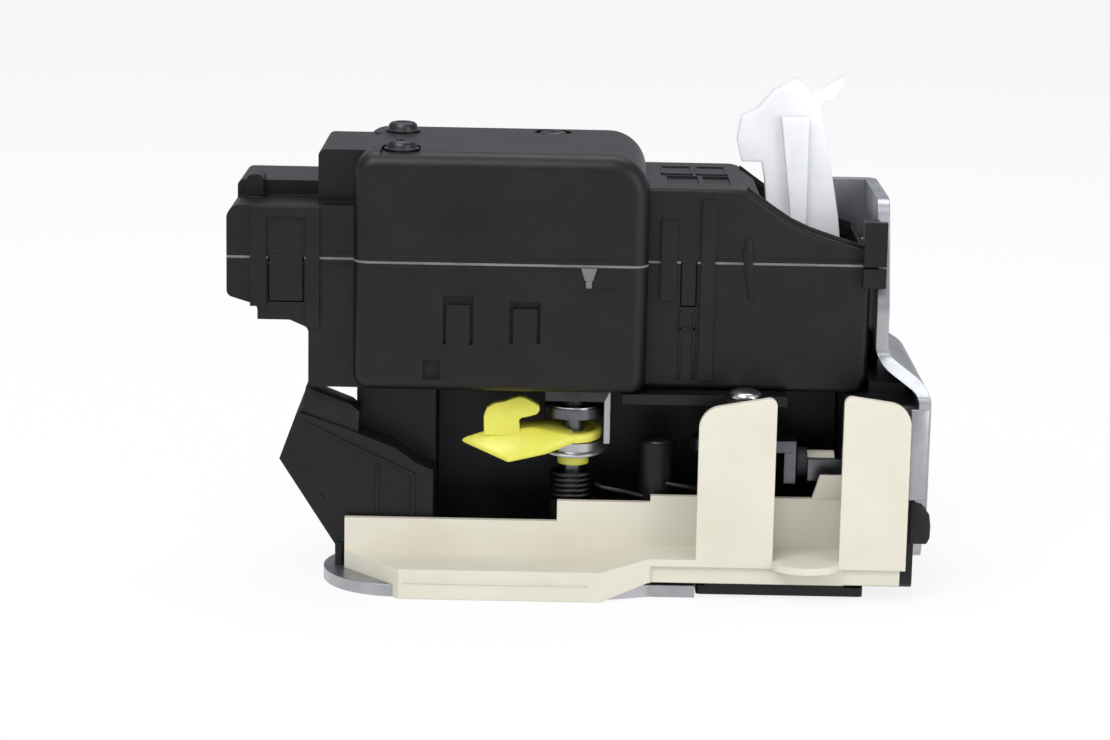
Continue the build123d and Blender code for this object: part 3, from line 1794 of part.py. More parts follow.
def make_base_plate():
    front = round_end_y - round_end_r
    with BuildPart() as base_plate:
        with BuildSketch(level(base_z)):
            with Locations((round_end_x, round_end_y)):
                Circle(round_end_r)
            inset = front + guard_front_y - guard_low_front_y
            Polygon(
                (round_end_x, front),
                (guard_low_end_x, front),
                (guard_blend_x, inset),
                (base_right_x, inset),
                (base_right_x, base_back_y),
                (frame_left_x, base_back_y),
                (round_end_x, round_end_y + round_end_r),
                align=None,
            )
        extrude(amount=sheet_t)
        with BuildSketch(level(deck_z)):
            with Locations((base_hole_x, base_hole_y)):
                Circle(fixing_collar_r)
        extrude(amount=fixing_collar_l)
        with BuildSketch(level(base_z - over)):
            with Locations((base_hole_x, base_hole_y)):
                Circle(fixing_r)
        extrude(amount=sheet_t + fixing_collar_l + 2 * over, mode=Mode.SUBTRACT)
    return base_plate


def make_bottom_cover():
    left = base_right_x + gap
    with BuildPart() as bottom_cover:
        with BuildSketch(level(deck_z)):
            rounded(
                (left, cover_front_y, wall / 2),
                (cover_right_x, cover_front_y, wall / 2),
                (cover_right_x, -mouth_clear_r - wall, 0),
                (pocket_back_x - claw_house_floor, -mouth_clear_r - wall, 0),
                (pocket_back_x - claw_house_floor, cover_back_y, 0),
                (left, cover_back_y, wall / 2),
            )
        extrude(amount=-cover_sheet_t)
        rim_right = pocket_back_x - claw_house_floor - back_sheet_t - gap
        with BuildSketch(level(deck_z - cover_sheet_t)):
            panel(left + wall, rim_right, cover_front_y, cover_front_y + cover_rim_t)
        extrude(amount=cover_rim_h)
    return bottom_cover


# Connector


def make_connector_shroud():
    middle = (socket_front_y + socket_back_y) / 2
    width = socket_back_y - socket_front_y
    with BuildPart() as connector_shroud:
        with BuildSketch(side_plane(socket_back_y)):
            Polygon(*traced((socket_right_x, deck_z), socket_span, socket_shares), align=None)
        extrude(amount=width)
        # Neck that carries the conductors up to the housing
        with BuildSketch(level(floor_z)):
            panel(neck_left_x, neck_right_x, neck_front_y_low, neck_back_y_low)
        extrude(amount=-neck_h)
        with BuildSketch(level(floor_z + over)):
            panel(
                neck_left_x + wall,
                neck_right_x - wall,
                neck_front_y_low + wall,
                neck_back_y_low - wall,
            )
        extrude(amount=-neck_h, mode=Mode.SUBTRACT)
        # Socket that the plug enters
        with BuildSketch(socket_plane(-over)):
            RectangleRounded(width - 2 * socket_wall, socket_h - 2 * socket_wall, socket_wall)
        extrude(amount=socket_depth + over, mode=Mode.SUBTRACT)
        # Latching ramp for the plug, on the upper side
        with BuildSketch(side_plane(middle + wall)):
            Polygon(*traced((socket_right_x, deck_z), socket_span, ramp_shares), align=None)
        extrude(amount=2 * wall)
        # Room over the base plate's threaded collar
        with BuildSketch(level(deck_z - over)):
            with Locations((base_hole_x, base_hole_y)):
                Circle(fixing_collar_r + gap)
        extrude(amount=base_hole_room + over, mode=Mode.SUBTRACT)
    return connector_shroud


def socket_plane(depth):
    """Plane across the socket's mouth, its normal running into the socket."""
    tilt = radians(socket_tilt)
    upper = traced((socket_right_x, deck_z), socket_span, socket_shares[:2])
    x = (upper[0][0] + upper[1][0]) / 2 + depth * cos(tilt)
    z = (upper[0][1] + upper[1][1]) / 2 - depth * sin(tilt)
    middle = (socket_front_y + socket_back_y) / 2
    return Plane(origin=(x, middle, z), x_dir=(0, 1, 0), z_dir=(cos(tilt), 0, -sin(tilt)))


def make_connector_pins():
    """Two rows of square pins that stand on the socket's floor."""
    with BuildPart() as connector_pins:
        with BuildSketch(socket_plane(socket_depth)):
            with GridLocations(pin_pitch, pin_row_gap, blade_pins, 2):
                Rectangle(pin_size, pin_size)
        extrude(amount=-socket_depth / 2)
    return connector_pins


def make_lead_frame():
    """Two conductors from the connector's neck to the motor's terminals."""
    top = terminal_z() + pin_size / 2
    with BuildPart() as lead_frame:
        for side in (-1, 1):
            with BuildSketch(side_plane(motor_y + side * terminal_y + pin_size / 2)):
                Polygon(
                    (lead_x, floor_z - neck_h / 2),
                    (lead_x + pin_size, floor_z - neck_h / 2),
                    (lead_x + pin_size, top - pin_size),
                    (can_left_x - 2 * cap_t - seat, top - pin_size),
                    (can_left_x - 2 * cap_t - seat, top),
                    (lead_x, top),
                    align=None,
                )
            extrude(amount=pin_size)
    return lead_frame


# Guard


def guard_section(front_y, top_z, ledge_z, foot_z):
    """Channel section of the guard in its own Y and Z: back wall, ledge and front skirt."""
    return [
        (guard_back_y, top_z),
        (guard_back_y, ledge_z - guard_t),
        (front_y + guard_t, ledge_z - guard_t),
        (front_y + guard_t, foot_z),
        (front_y, foot_z),
        (front_y, ledge_z),
        (guard_back_y - guard_t, ledge_z),
        (guard_back_y - guard_t, top_z),
    ]


def make_guard():
    low = guard_section(guard_low_front_y, guard_low_top_z, guard_low_ledge_z, base_z)
    low_step = guard_section(guard_low_front_y, guard_mid_top_z, guard_low_ledge_z, base_z)
    inner_y = guard_front_y + guard_set_back
    middle = guard_section(guard_front_y, guard_mid_top_z, guard_ledge_z, guard_foot_z)
    high = guard_section(inner_y, guard_high_top_z, guard_ledge_z, guard_foot_z)
    trough_right = pocket_back_x - claw_house_floor - back_sheet_t - gap
    with BuildPart() as guard:
        # Low left part, with its slanted end
        with BuildSketch(end_plane(guard_left_x)):
            Polygon(*low, align=None)
        extrude(amount=guard_step_x - guard_left_x)
        slant_y = guard_back_y - guard_t
        with BuildSketch(level(base_z - over)):
            Polygon(
                (guard_left_x - over, slant_y),
                (guard_left_x, slant_y),
                (guard_bend_x, guard_low_front_y),
                (guard_bend_x, guard_low_front_y - over),
                (guard_left_x - over, guard_low_front_y - over),
                align=None,
            )
        extrude(amount=guard_low_ledge_z - base_z + 2 * over, mode=Mode.SUBTRACT)
        # Skirt under the slanted end, above the base plate
        with BuildSketch(level(guard_low_ledge_z)):
            Polygon(
                (guard_left_x, slant_y),
                (guard_bend_x, guard_low_front_y),
                (guard_bend_x + guard_t, guard_low_front_y),
                (guard_bend_x + guard_t, guard_low_front_y + guard_t),
                (guard_left_x + guard_slant_share * guard_t, slant_y + guard_t),
                (guard_left_x, slant_y + guard_t),
                align=None,
            )
        extrude(amount=deck_z + seat - guard_low_ledge_z)
        # Low part under the higher back wall, then the blend to the middle part
        with BuildSketch(end_plane(guard_step_x)):
            Polygon(*low_step, align=None)
        extrude(amount=guard_low_end_x - guard_step_x)
        with BuildSketch(end_plane(guard_low_end_x)):
            Polygon(*low_step, align=None)
        with BuildSketch(end_plane(guard_blend_x)):
            Polygon(*middle, align=None)
        loft(ruled=True)
        with BuildSketch(end_plane(guard_blend_x)):
            Polygon(*middle, align=None)
        extrude(amount=guard_high_x - guard_blend_x)
        with BuildSketch(end_plane(guard_high_x)):
            Polygon(*high, align=None)
        extrude(amount=trough_right - guard_high_x)
        # Front sheet with the two ears and the round-bottomed notch between them
        with BuildSketch(side_plane(guard_front_y + guard_t)):
            rounded(
                (guard_high_x, guard_ledge_z - guard_t, 0),
                (guard_high_x, guard_ledge_z, 0),
                (ear_left_x, guard_ledge_z, 0),
                (ear_left_x, ear_left_low_z, ear_r),
                (ear_notch_left_x, ear_left_high_z, guard_t),
                (ear_notch_left_x, guard_ledge_z, 0),
                (ear_notch_right_x, guard_ledge_z, 0),
                (ear_notch_right_x, ear_right_high_z, guard_t),
                (ear_right_x, ear_right_low_z, ear_r),
                (ear_right_x, guard_ledge_z - guard_t, 0),
            )
        extrude(amount=guard_t)
        # Ledge strip behind the right ear and the half-round lip below the notch
        with BuildSketch(level(guard_ledge_z)):
            panel(trough_right - over, guard_right_x, guard_front_y, cover_front_y - seat)
            with Locations(((ear_notch_left_x + ear_notch_right_x) / 2, guard_front_y)):
                Ellipse(notch_lip_r, notch_lip_depth)
            panel(
                ear_notch_left_x,
                ear_notch_right_x,
                guard_front_y + guard_t,
                guard_front_y + 3 * guard_t,
                mode=Mode.SUBTRACT,
            )
        extrude(amount=-guard_t)
    return guard


def save(piece, name):
    piece.part.label = name
    export_step(piece.part, f"parts/{name}.step")


outer = housing_outer()
cavity = housing_cavity()
save(make_upper_cover(outer, cavity), "upper_cover")
save(make_gasket(outer, cavity), "housing_gasket")
save(make_lower_base(outer, cavity), "lower_base")
save(make_cover_screws(), "cover_screws")
save(make_frame_screw(), "frame_screw")
save(make_motor_can(), "motor_can")
save(make_motor_end_cap(), "motor_end_cap")
save(make_motor_terminals(), "motor_terminals")
save(make_rotor(), "rotor")
save(make_motor_shaft(), "motor_shaft")
save(make_worm(), "worm")
save(make_worm_wheel(), "worm_wheel")
save(make_worm_bearing(), "worm_bearing")
save(make_axle(wheel_x(), wheel_z(), axle_r), "gear_pin")
save(make_axle(lock_x, lock_z, lock_axle_r), "lock_pin")
save(make_lock_lever(), "lock_lever")
save(make_lock_switch(), "lock_switch")
save(make_lock_switch_plunger(), "lock_switch_plunger")
save(make_claw_switch(), "claw_switch")
save(make_claw_switch_plunger(), "claw_switch_plunger")
save(make_face_plate(), "face_plate")
save(make_mouth_liner(), "mouth_liner")
save(make_claw_housing(), "claw_housing")
save(make_back_plate(), "back_plate")
save(make_pin((claw_y, claw_z), claw_pin_r), "claw_pin")
save(make_pin((pawl_y, pawl_z), pawl_pin_r), "pawl_pin")
save(make_claw(), "claw")
save(make_claw_jacket(), "claw_jacket")
save(make_pawl(), "pawl")
save(make_mouth_buffer(), "mouth_buffer")
save(make_flat_spring((claw_y, claw_z), claw_coil_r, pocket_back_x), "claw_spring")
save(make_flat_spring((pawl_y, pawl_z), pawl_coil_r, pocket_back_x), "pawl_spring")
save(make_exterior_pin(), "exterior_pin")
save(make_pin_bracket(), "pin_bracket")
save(make_exterior_lever(), "exterior_lever")
save(make_lever_washer(), "lever_washer")
save(make_release_lever(), "release_lever")
save(make_release_bush(), "release_bush")
save(make_bush_ring(), "bush_ring")
save(make_release_pin(), "release_pin")
boss_top = deck_z + frame_floor_t + pin_boss_h
save(make_lever_spring(exterior_x, exterior_y, boss_top, exterior_coil_turns), "exterior_spring")
save(make_lever_spring(release_x, release_y, boss_top, release_coil_turns), "release_spring")
save(make_lever_frame(), "lever_frame")
save(make_base_plate(), "base_plate")
save(make_bottom_cover(), "bottom_cover")
save(make_connector_shroud(), "connector_shroud")
save(make_connector_pins(), "connector_pins")
save(make_lead_frame(), "lead_frame")
save(make_guard(), "guard")
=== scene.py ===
import json
import math

import bmesh
import bpy
from mathutils import Matrix, Vector


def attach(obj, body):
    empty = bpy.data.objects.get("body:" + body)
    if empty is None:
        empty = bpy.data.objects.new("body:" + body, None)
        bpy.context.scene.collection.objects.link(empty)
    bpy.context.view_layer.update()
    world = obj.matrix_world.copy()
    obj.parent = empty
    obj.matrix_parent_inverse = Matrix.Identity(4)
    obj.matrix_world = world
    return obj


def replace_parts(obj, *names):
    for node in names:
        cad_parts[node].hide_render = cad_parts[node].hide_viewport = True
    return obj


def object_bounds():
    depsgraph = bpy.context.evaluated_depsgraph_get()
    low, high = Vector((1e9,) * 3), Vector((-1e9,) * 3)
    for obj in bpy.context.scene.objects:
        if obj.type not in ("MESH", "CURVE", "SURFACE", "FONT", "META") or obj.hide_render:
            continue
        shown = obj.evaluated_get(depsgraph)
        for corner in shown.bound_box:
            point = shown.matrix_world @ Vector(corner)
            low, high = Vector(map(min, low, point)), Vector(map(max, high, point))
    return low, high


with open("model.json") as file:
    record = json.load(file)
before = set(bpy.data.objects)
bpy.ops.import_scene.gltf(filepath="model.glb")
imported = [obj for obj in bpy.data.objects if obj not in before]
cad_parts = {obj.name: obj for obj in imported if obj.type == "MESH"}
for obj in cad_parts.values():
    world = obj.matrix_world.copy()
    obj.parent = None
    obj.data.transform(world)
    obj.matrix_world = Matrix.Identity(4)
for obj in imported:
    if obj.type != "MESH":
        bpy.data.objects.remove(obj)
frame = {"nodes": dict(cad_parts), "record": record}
nodes = frame["nodes"]
record = frame["record"]
cad_lo, cad_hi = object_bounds()
MM = 0.001


# Materials

BLOTCH_SPAN = (0.3, 0.7)
DIRT_SPAN = (0.5, 0.72)
DIRT_SIZE_SHARE = 0.6
GLOSS_SPAN = 0.12
GRAIN_DEPTH = 0.00006
BEVEL_SAMPLES = 4
SUB_RADIUS = (0.004, 0.0036, 0.003)
SUB_SCALE = 0.6


def new_mat(name):
    """Material with an empty tree, a principled shader and its output."""
    mat = bpy.data.materials.new(name)
    mat.use_nodes = True
    tree = mat.node_tree
    tree.nodes.clear()
    out = tree.nodes.new("ShaderNodeOutputMaterial")
    shader = tree.nodes.new("ShaderNodeBsdfPrincipled")
    tree.links.new(shader.outputs[0], out.inputs[0])
    return mat, tree, shader


def noise(tree, place, scale, detail=3.0, rough=0.5, stretch=None):
    """Noise from 0 to 1 at a place, drawn out along an axis where stretch says so."""
    node = tree.nodes.new("ShaderNodeTexNoise")
    node.inputs["Scale"].default_value = scale
    node.inputs["Detail"].default_value = detail
    node.inputs["Roughness"].default_value = rough
    if stretch:
        mapping = tree.nodes.new("ShaderNodeMapping")
        mapping.inputs["Scale"].default_value = stretch
        tree.links.new(place, mapping.inputs["Vector"])
        place = mapping.outputs[0]
    tree.links.new(place, node.inputs["Vector"])
    return node.outputs["Fac"]


def ramp(tree, value, stops):
    """Colour that a value picks from (position, colour) stops."""
    node = tree.nodes.new("ShaderNodeValToRGB")
    elements = node.color_ramp.elements
    for element, (position, colour) in zip(elements, stops):
        element.position = position
        element.color = (*colour, 1)
    tree.links.new(value, node.inputs[0])
    return node.outputs[0]


def math_node(tree, operation, *values):
    """Result of one operation on two values, each a number or a socket."""
    node = tree.nodes.new("ShaderNodeMath")
    node.operation = operation
    for k, value in enumerate(values):
        if isinstance(value, (int, float)):
            node.inputs[k].default_value = value
        else:
            tree.links.new(value, node.inputs[k])
    return node.outputs[0]


def mix_colour(tree, share, under, over):
    """Colour socket under, covered by the plain colour over as far as share says."""
    node = tree.nodes.new("ShaderNodeMix")
    node.data_type = "RGBA"
    tree.links.new(share, node.inputs[0])
    tree.links.new(under, node.inputs[6])
    node.inputs[7].default_value = (*over, 1)
    return node.outputs[2]


def bumped(tree, height, strength, edge):
    """Normal with grain, and with edges rounded by the radius edge."""
    bump = tree.nodes.new("ShaderNodeBump")
    bump.inputs["Strength"].default_value = strength
    bump.inputs["Distance"].default_value = GRAIN_DEPTH
    tree.links.new(height, bump.inputs["Height"])
    if edge:
        rounded = tree.nodes.new("ShaderNodeBevel")
        rounded.samples = BEVEL_SAMPLES
        rounded.inputs["Radius"].default_value = edge
        tree.links.new(rounded.outputs[0], bump.inputs["Normal"])
    return bump.outputs[0]


def coords(tree):
    """Place on the object, in its own coordinates."""
    return tree.nodes.new("ShaderNodeTexCoord").outputs["Object"]


def finish_mat(name, dark, light, rough, metal=0.0, grain=2600.0, grain_s=0.25, blotch=90.0,
               edge=0.0003, stretch=None, spec=0.5, dirt=None, dirt_amt=0.5, sub=0.0):
    """Procedural finish: two-tone colour, fine moulded or rolled grain, uneven gloss, soft edges."""
    mat, tree, shader = new_mat(name)
    place = coords(tree)
    big = noise(tree, place, blotch, detail=4.0, rough=0.6)
    fine = noise(tree, place, grain, detail=2.0, stretch=stretch)
    colour = ramp(tree, big, zip(BLOTCH_SPAN, (dark, light)))
    if dirt:
        spots = noise(tree, place, blotch * DIRT_SIZE_SHARE, detail=6.0, rough=0.75)
        mask = ramp(tree, spots, zip(DIRT_SPAN, ((0, 0, 0), (dirt_amt,) * 3)))
        colour = mix_colour(tree, mask, colour, dirt)
    tree.links.new(colour, shader.inputs["Base Color"])
    gloss = math_node(tree, "MULTIPLY", big, GLOSS_SPAN)
    gloss = math_node(tree, "ADD", gloss, rough - GLOSS_SPAN / 2)
    tree.links.new(gloss, shader.inputs["Roughness"])
    shader.inputs["Metallic"].default_value = metal
    shader.inputs["Specular IOR Level"].default_value = spec
    if sub:
        shader.inputs["Subsurface Weight"].default_value = sub
        shader.inputs["Subsurface Radius"].default_value = SUB_RADIUS
        shader.inputs["Subsurface Scale"].default_value = SUB_SCALE
    tree.links.new(bumped(tree, fine, grain_s, edge), shader.inputs["Normal"])
    return mat


looks = {
    "black_plastic": finish_mat("black_moulding", (0.0042, 0.0042, 0.0048), (0.0078, 0.0077, 0.0086), 0.42,
                                grain=1900, grain_s=0.3, dirt=(0.022, 0.021, 0.02), dirt_amt=0.22, spec=0.32),
    "zinc_steel": finish_mat("zinc_plate", (0.36, 0.37, 0.39), (0.52, 0.53, 0.55), 0.38, metal=1.0, grain=900,
                             grain_s=0.2, stretch=(1, 1, 0.2), dirt=(0.2, 0.2, 0.2), dirt_amt=0.4),
    "dark_steel": finish_mat("black_zinc", (0.03, 0.03, 0.033), (0.07, 0.07, 0.075), 0.36, metal=0.8,
                             grain=1500),
    "bright_steel": finish_mat("polished_steel", (0.6, 0.6, 0.61), (0.74, 0.74, 0.75), 0.2, metal=1.0,
                               grain=1200, grain_s=0.1),
    # spring wire kept near black to match the shade round the lever springs: painted shade
    "spring_steel": finish_mat("shade_darkened_wire", (0.02, 0.02, 0.022), (0.05, 0.05, 0.054), 0.4, metal=0.9,
                               grain=1500, grain_s=0.15, edge=0),
    # light grey seam gasket: partly a grey seal, partly a painted highlight on the lower shell's lip edge
    "gasket_foam": finish_mat("grey_seal_and_seam_highlight", (0.12, 0.116, 0.11), (0.21, 0.205, 0.195), 0.7, grain=2500,
                              grain_s=0.5, edge=0),
    # near-black rubber finish, also used for the gap fillers that paint shade
    "rubber": finish_mat("rubber_and_shade_fill", (0.022, 0.022, 0.026), (0.045, 0.045, 0.05), 0.6, grain=2200),
    "cream_nylon": finish_mat("natural_nylon", (0.66, 0.625, 0.51), (0.72, 0.69, 0.585), 0.42, grain=1300,
                              grain_s=0.12, blotch=40, sub=0.15, dirt=(0.6, 0.55, 0.42), dirt_amt=0.35),
    "white_plastic": finish_mat("white_acetal", (0.68, 0.68, 0.65), (0.78, 0.78, 0.75), 0.4, grain=1300,
                                grain_s=0.12),
    "milky_plastic": finish_mat("milky_acetal", (0.76, 0.765, 0.79), (0.86, 0.865, 0.88), 0.3, grain=1300,
                                grain_s=0.1, sub=0.5),
    "yellow_zinc": finish_mat("yellow_coat", (0.68, 0.66, 0.07), (0.76, 0.74, 0.11), 0.36, grain=1300,
                              grain_s=0.15, dirt=(0.56, 0.5, 0.07), dirt_amt=0.35),
    "yellow_plastic": finish_mat("yellow_acetal", (0.7, 0.5, 0.05), (0.78, 0.6, 0.08), 0.35),
    "grey_washer": finish_mat("washer_steel", (0.36, 0.37, 0.39), (0.55, 0.56, 0.58), 0.3, metal=0.95,
                              grain=900, grain_s=0.15, dirt=(0.15, 0.14, 0.13), dirt_amt=0.5),
    "bronze": finish_mat("sintered_bronze", (0.4, 0.27, 0.12), (0.55, 0.4, 0.2), 0.4, metal=1.0, grain=2400,
                         grain_s=0.4),
    "tinned_brass": finish_mat("tinned_brass", (0.5, 0.48, 0.42), (0.66, 0.63, 0.55), 0.3, metal=1.0),
    "greased_steel": finish_mat("greased_steel", (0.085, 0.09, 0.105), (0.2, 0.21, 0.23), 0.3, metal=0.95,
                                grain=900, grain_s=0.2, dirt=(0.04, 0.04, 0.04), dirt_amt=0.6),
}
GREASED = ("release_lever", "pawl", "claw", "back_plate", "exterior_pin", "release_pin")
# height above which the zinc bracket's faces get painted shade
BRACKET_SHADED_ABOVE = 10.3

slot_of = {s["node"]: s["material_slot"] for s in record["subparts"]}
for name, obj in nodes.items():
    obj.data.materials.clear()
    obj.data.materials.append(looks["greased_steel" if name in GREASED else slot_of[name]])
    for face in obj.data.polygons:
        face.material_index = 0
# the bracket's top plate, under the housing floor, gets near-black steel as painted shade; its lit tab keeps
# the zinc
bracket = nodes["pin_bracket"].data
bracket.materials.append(looks["dark_steel"])
for face in bracket.polygons:
    if face.center.z > BRACKET_SHADED_ABOVE * MM:
        face.material_index = 1


# Mesh helpers, in millimetres in the shared frame

BEVEL_ANGLE = 0.6
SMOOTH_ANGLE = 0.7
STAR_POINTS = 6


def spot(face, at, a, b, d):
    """Point on one of the part's faces: in-face coordinates a, b and height d above the face."""
    if face == "front":
        return Vector((a, at - d, b)) * MM
    if face == "back":
        return Vector((a, at + d, b)) * MM
    if face == "top":
        return Vector((a, b, at + d)) * MM
    if face == "under":
        return Vector((a, b, at - d)) * MM
    return Vector((at + d, a, b)) * MM


def bridge(bm, pairs):
    """Faces between the two loops of corners of each pair."""
    for low, high in pairs:
        n = len(low)
        for k in range(n):
            j = (k + 1) % n
            bm.faces.new((low[k], low[j], high[j], high[k]))


def prism(bm, face, at, pts, h, sink=0.2):
    """Outline on a face, raised by h and sunk by sink."""
    low = [bm.verts.new(spot(face, at, a, b, -sink)) for a, b in pts]
    high = [bm.verts.new(spot(face, at, a, b, h)) for a, b in pts]
    bm.faces.new(low[::-1])
    bm.faces.new(high)
    bridge(bm, [(low, high)])


def bar(bm, face, at, x0, x1, z0, z1, h, sink=0.2):
    """Rectangle on a face, raised by h and sunk by sink."""
    prism(bm, face, at, [(x0, z0), (x1, z0), (x1, z1), (x0, z1)], h, sink)


def turned(bm, face, at, centre, levels, n=48, closed=False):
    """Rings of (radius, height, star) about a centre on a face, joined in order and capped or closed."""
    loops = []
    for r, d, star in levels:
        loop = []
        for k in range(n):
            t = 2 * math.pi * k / n
            rr = r + star * math.cos(STAR_POINTS * t)
            point = spot(face, at, centre[0] + rr * math.cos(t), centre[1] + rr * math.sin(t), d)
            loop.append(bm.verts.new(point))
        loops.append(loop)
    pairs = list(zip(loops, loops[1:]))
    if closed:
        pairs.append((loops[-1], loops[0]))
    else:
        bm.faces.new(loops[0])
        bm.faces.new(loops[-1])
    bridge(bm, pairs)


def spiral(bm, face, at, centre, r, wire, pitch, turns, start=0.0, steps=32):
    """Diamond-section helix about a centre on a face: thread ridges."""
    loops = []
    for k in range(int(steps * turns) + 1):
        t = 2 * math.pi * k / steps
        d = start + pitch * k / steps
        loop = []
        for dr, dd in ((wire, 0), (0, wire), (-wire, 0), (0, -wire)):
            rr = r + dr
            point = spot(face, at, centre[0] + rr * math.cos(t), centre[1] + rr * math.sin(t), d + dd)
            loop.append(bm.verts.new(point))
        loops.append(loop)
    bridge(bm, zip(loops, loops[1:]))
    bm.faces.new(loops[0])
    bm.faces.new(loops[-1])


def wire_path(bm, pts, r, n=10):
    """Round wire through points, each joint mitred by its mean direction."""
    pts = [Vector(p) * MM for p in pts]
    angles = [2 * math.pi * k / n for k in range(n)]
    loops = []
    side = None
    for i, p in enumerate(pts):
        before = pts[max(i - 1, 0)]
        after = pts[min(i + 1, len(pts) - 1)]
        along = (after - before).normalized()
        if side is None:
            side = along.orthogonal().normalized()
        side = (side - along * side.dot(along)).normalized()
        up = along.cross(side)
        loops.append([bm.verts.new(p + (side * math.cos(t) + up * math.sin(t)) * r * MM) for t in angles])
    bridge(bm, zip(loops, loops[1:]))
    bm.faces.new(loops[0])
    bm.faces.new(loops[-1])


def hull(bm, pts):
    """Closed solid that spans its corner points."""
    corners = [bm.verts.new(Vector(p) * MM) for p in pts]
    made = bmesh.ops.convex_hull(bm, input=corners)
    inside = {g for g in made["geom_interior"] + made["geom_unused"] if isinstance(g, bmesh.types.BMVert)}
    bmesh.ops.delete(bm, geom=list(inside), context="VERTS")


def leaning_ring(bm, centre, levels, lean, n=64):
    """Closed ring of (radius, height) levels about an upright axis, tilted down towards the viewer."""
    loops = []
    for r, h in levels:
        loop = []
        for k in range(n):
            t = 2 * math.pi * k / n
            x, y = centre[0] + r * math.cos(t), centre[1] + r * math.sin(t)
            loop.append(bm.verts.new(Vector((x, y, h + lean * r * math.sin(t))) * MM))
        loops.append(loop)
    bridge(bm, zip(loops, loops[1:] + loops[:1]))


def piece(name, bm, slot_name, body="housing", bevel=0.0):
    """Named scene piece from a mesh, with its look, slot and body."""
    bmesh.ops.recalc_face_normals(bm, faces=bm.faces)
    if bevel:
        sharp = [e for e in bm.edges if len(e.link_faces) == 2 and e.calc_face_angle(0.0) > BEVEL_ANGLE]
        bmesh.ops.bevel(bm, geom=sharp, offset=bevel * MM, segments=2, profile=0.5, affect="EDGES")
    mesh = bpy.data.meshes.new(name)
    bm.to_mesh(mesh)
    bm.free()
    for face in mesh.polygons:
        face.use_smooth = True
    mesh.set_sharp_from_angle(angle=SMOOTH_ANGLE)
    o = bpy.data.objects.new(name, mesh)
    bpy.context.scene.collection.objects.link(o)
    mesh.materials.append(looks[slot_name])
    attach(o, body)
    return o


# Faces of the part that carry details

MAIN_FRONT = -19.0
RIGHT_FRONT = -12.0
LEFT_FRONT = -15.0
HOUSING_BACK = 25.0
MAIN_TOP = 64.5
RIGHT_TOP = 57.3
PLUG_FRONT = -13.0
GUARD_FRONT = -30.0
GUARD_END_FRONT = -24.05
PLATE_END_FRONT = -24.0
FRAME_BACK = 11.0
PLATE_UNDER = -29.7
COVER_UNDER = -29.1


# Screws and threads: HEAD levels are shares of the radius with a height, a share of it or a depth

COVER_SCREWS = ((-113.6, -9.0, 0.8), (-114.6, 15.0, 0.0), (-81.4, 18.6, 2.0))
HEAD_R = 3.85
HEAD_H = 2.2
HEAD_FLANGE = ((0.96, 0.0), (1.0, 0.12), (1.0, 0.5), (0.93, 0.62), (0.86, 0.7))
HEAD_PAN_SHARES = ((0.82, 0.62), (0.76, 0.82), (0.66, 0.94), (0.52, 1.0))
HEAD_RECESS = ((0.45, 0.0, 0.05), (0.41, 0.08, 0.075), (0.38, 1.3, 0.07), (0.1, 1.45, 0.0))
SHANK_R = 1.95
SHANK_OVERLAP = 0.05
COVER_SHANK = 29.0
COVER_TIP = (1.0, 1.2)
COVER_RIDGE = 0.22
COVER_PITCH = 1.2
COVER_TURNS = 20
DOME_PLACE = (-39.2, -17.5)
DOME_SEAT = 13.02
DOME_R = 3.6
DOME_RIM = 0.5
DOME_RISE = 1.4
DOME_FOOT = [(3.395, 0, 0), (DOME_R, 0.15, 0), (DOME_R, DOME_RIM, 0)]
DOME_CROWN = [(1.1, 1.84, 0), (0.4, 1.9, 0)]
DOME_ANGLES = (0.25, 0.5, 0.75, 0.95, 1.1)
DOME_SHANK = 14.0
DOME_TIP = (0.9, 1.4)
PLATE_COLLARS = ((-18.5, 5.0), (19.0, 6.0), (19.0, -16.5))
BASE_COLLAR = (-116.5, -3.0)
COLLAR_R = 2.52
COLLAR_RIDGE = 0.16
COLLAR_PITCH = 0.8
COLLAR_TURNS = 5.2
PLATE_THREAD_START = -4.4
BASE_THREAD_START = 0.2


def star_head(bm, at, centre):
    """Pan head with a small flange and a six-point recess, whose last value is its star as a share."""
    levels = [(HEAD_R * share, height, 0) for share, height in HEAD_FLANGE]
    levels += [(HEAD_R * share, HEAD_H * height, 0) for share, height in HEAD_PAN_SHARES]
    levels += [(HEAD_R * share, HEAD_H - depth, HEAD_R * star) for share, depth, star in HEAD_RECESS]
    turned(bm, "top", at, centre, levels)


def shank(bm, at, place, length, tip):
    """Screw's shank below its head, with a narrowed tip of (length, radius)."""
    tip_length, tip_r = tip
    levels = [(SHANK_R, SHANK_OVERLAP, 0), (SHANK_R, -length, 0), (tip_r, -length - tip_length, 0)]
    turned(bm, "top", at, place, levels, n=24)


def screws():
    """Star-recess cover screws and the dome-headed frame screw, in their nodes' places."""
    bm = bmesh.new()
    for x, y, depth in COVER_SCREWS:
        place, at = (x, y), MAIN_TOP - depth
        star_head(bm, at, place)
        shank(bm, at, place, COVER_SHANK, COVER_TIP)
        spiral(bm, "top", at, place, SHANK_R, COVER_RIDGE, COVER_PITCH, COVER_TURNS,
               start=-COVER_SHANK, steps=20)
    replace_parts(piece("cover_screw_heads", bm, "dark_steel"), "cover_screws")
    bm = bmesh.new()
    curve = [(DOME_R * math.cos(a), DOME_RIM + DOME_RISE * math.sin(a), 0) for a in DOME_ANGLES]
    turned(bm, "top", DOME_SEAT, DOME_PLACE, DOME_FOOT + curve + DOME_CROWN)
    shank(bm, DOME_SEAT, DOME_PLACE, DOME_SHANK, DOME_TIP)
    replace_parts(piece("dome_screw", bm, "bright_steel"), "frame_screw")


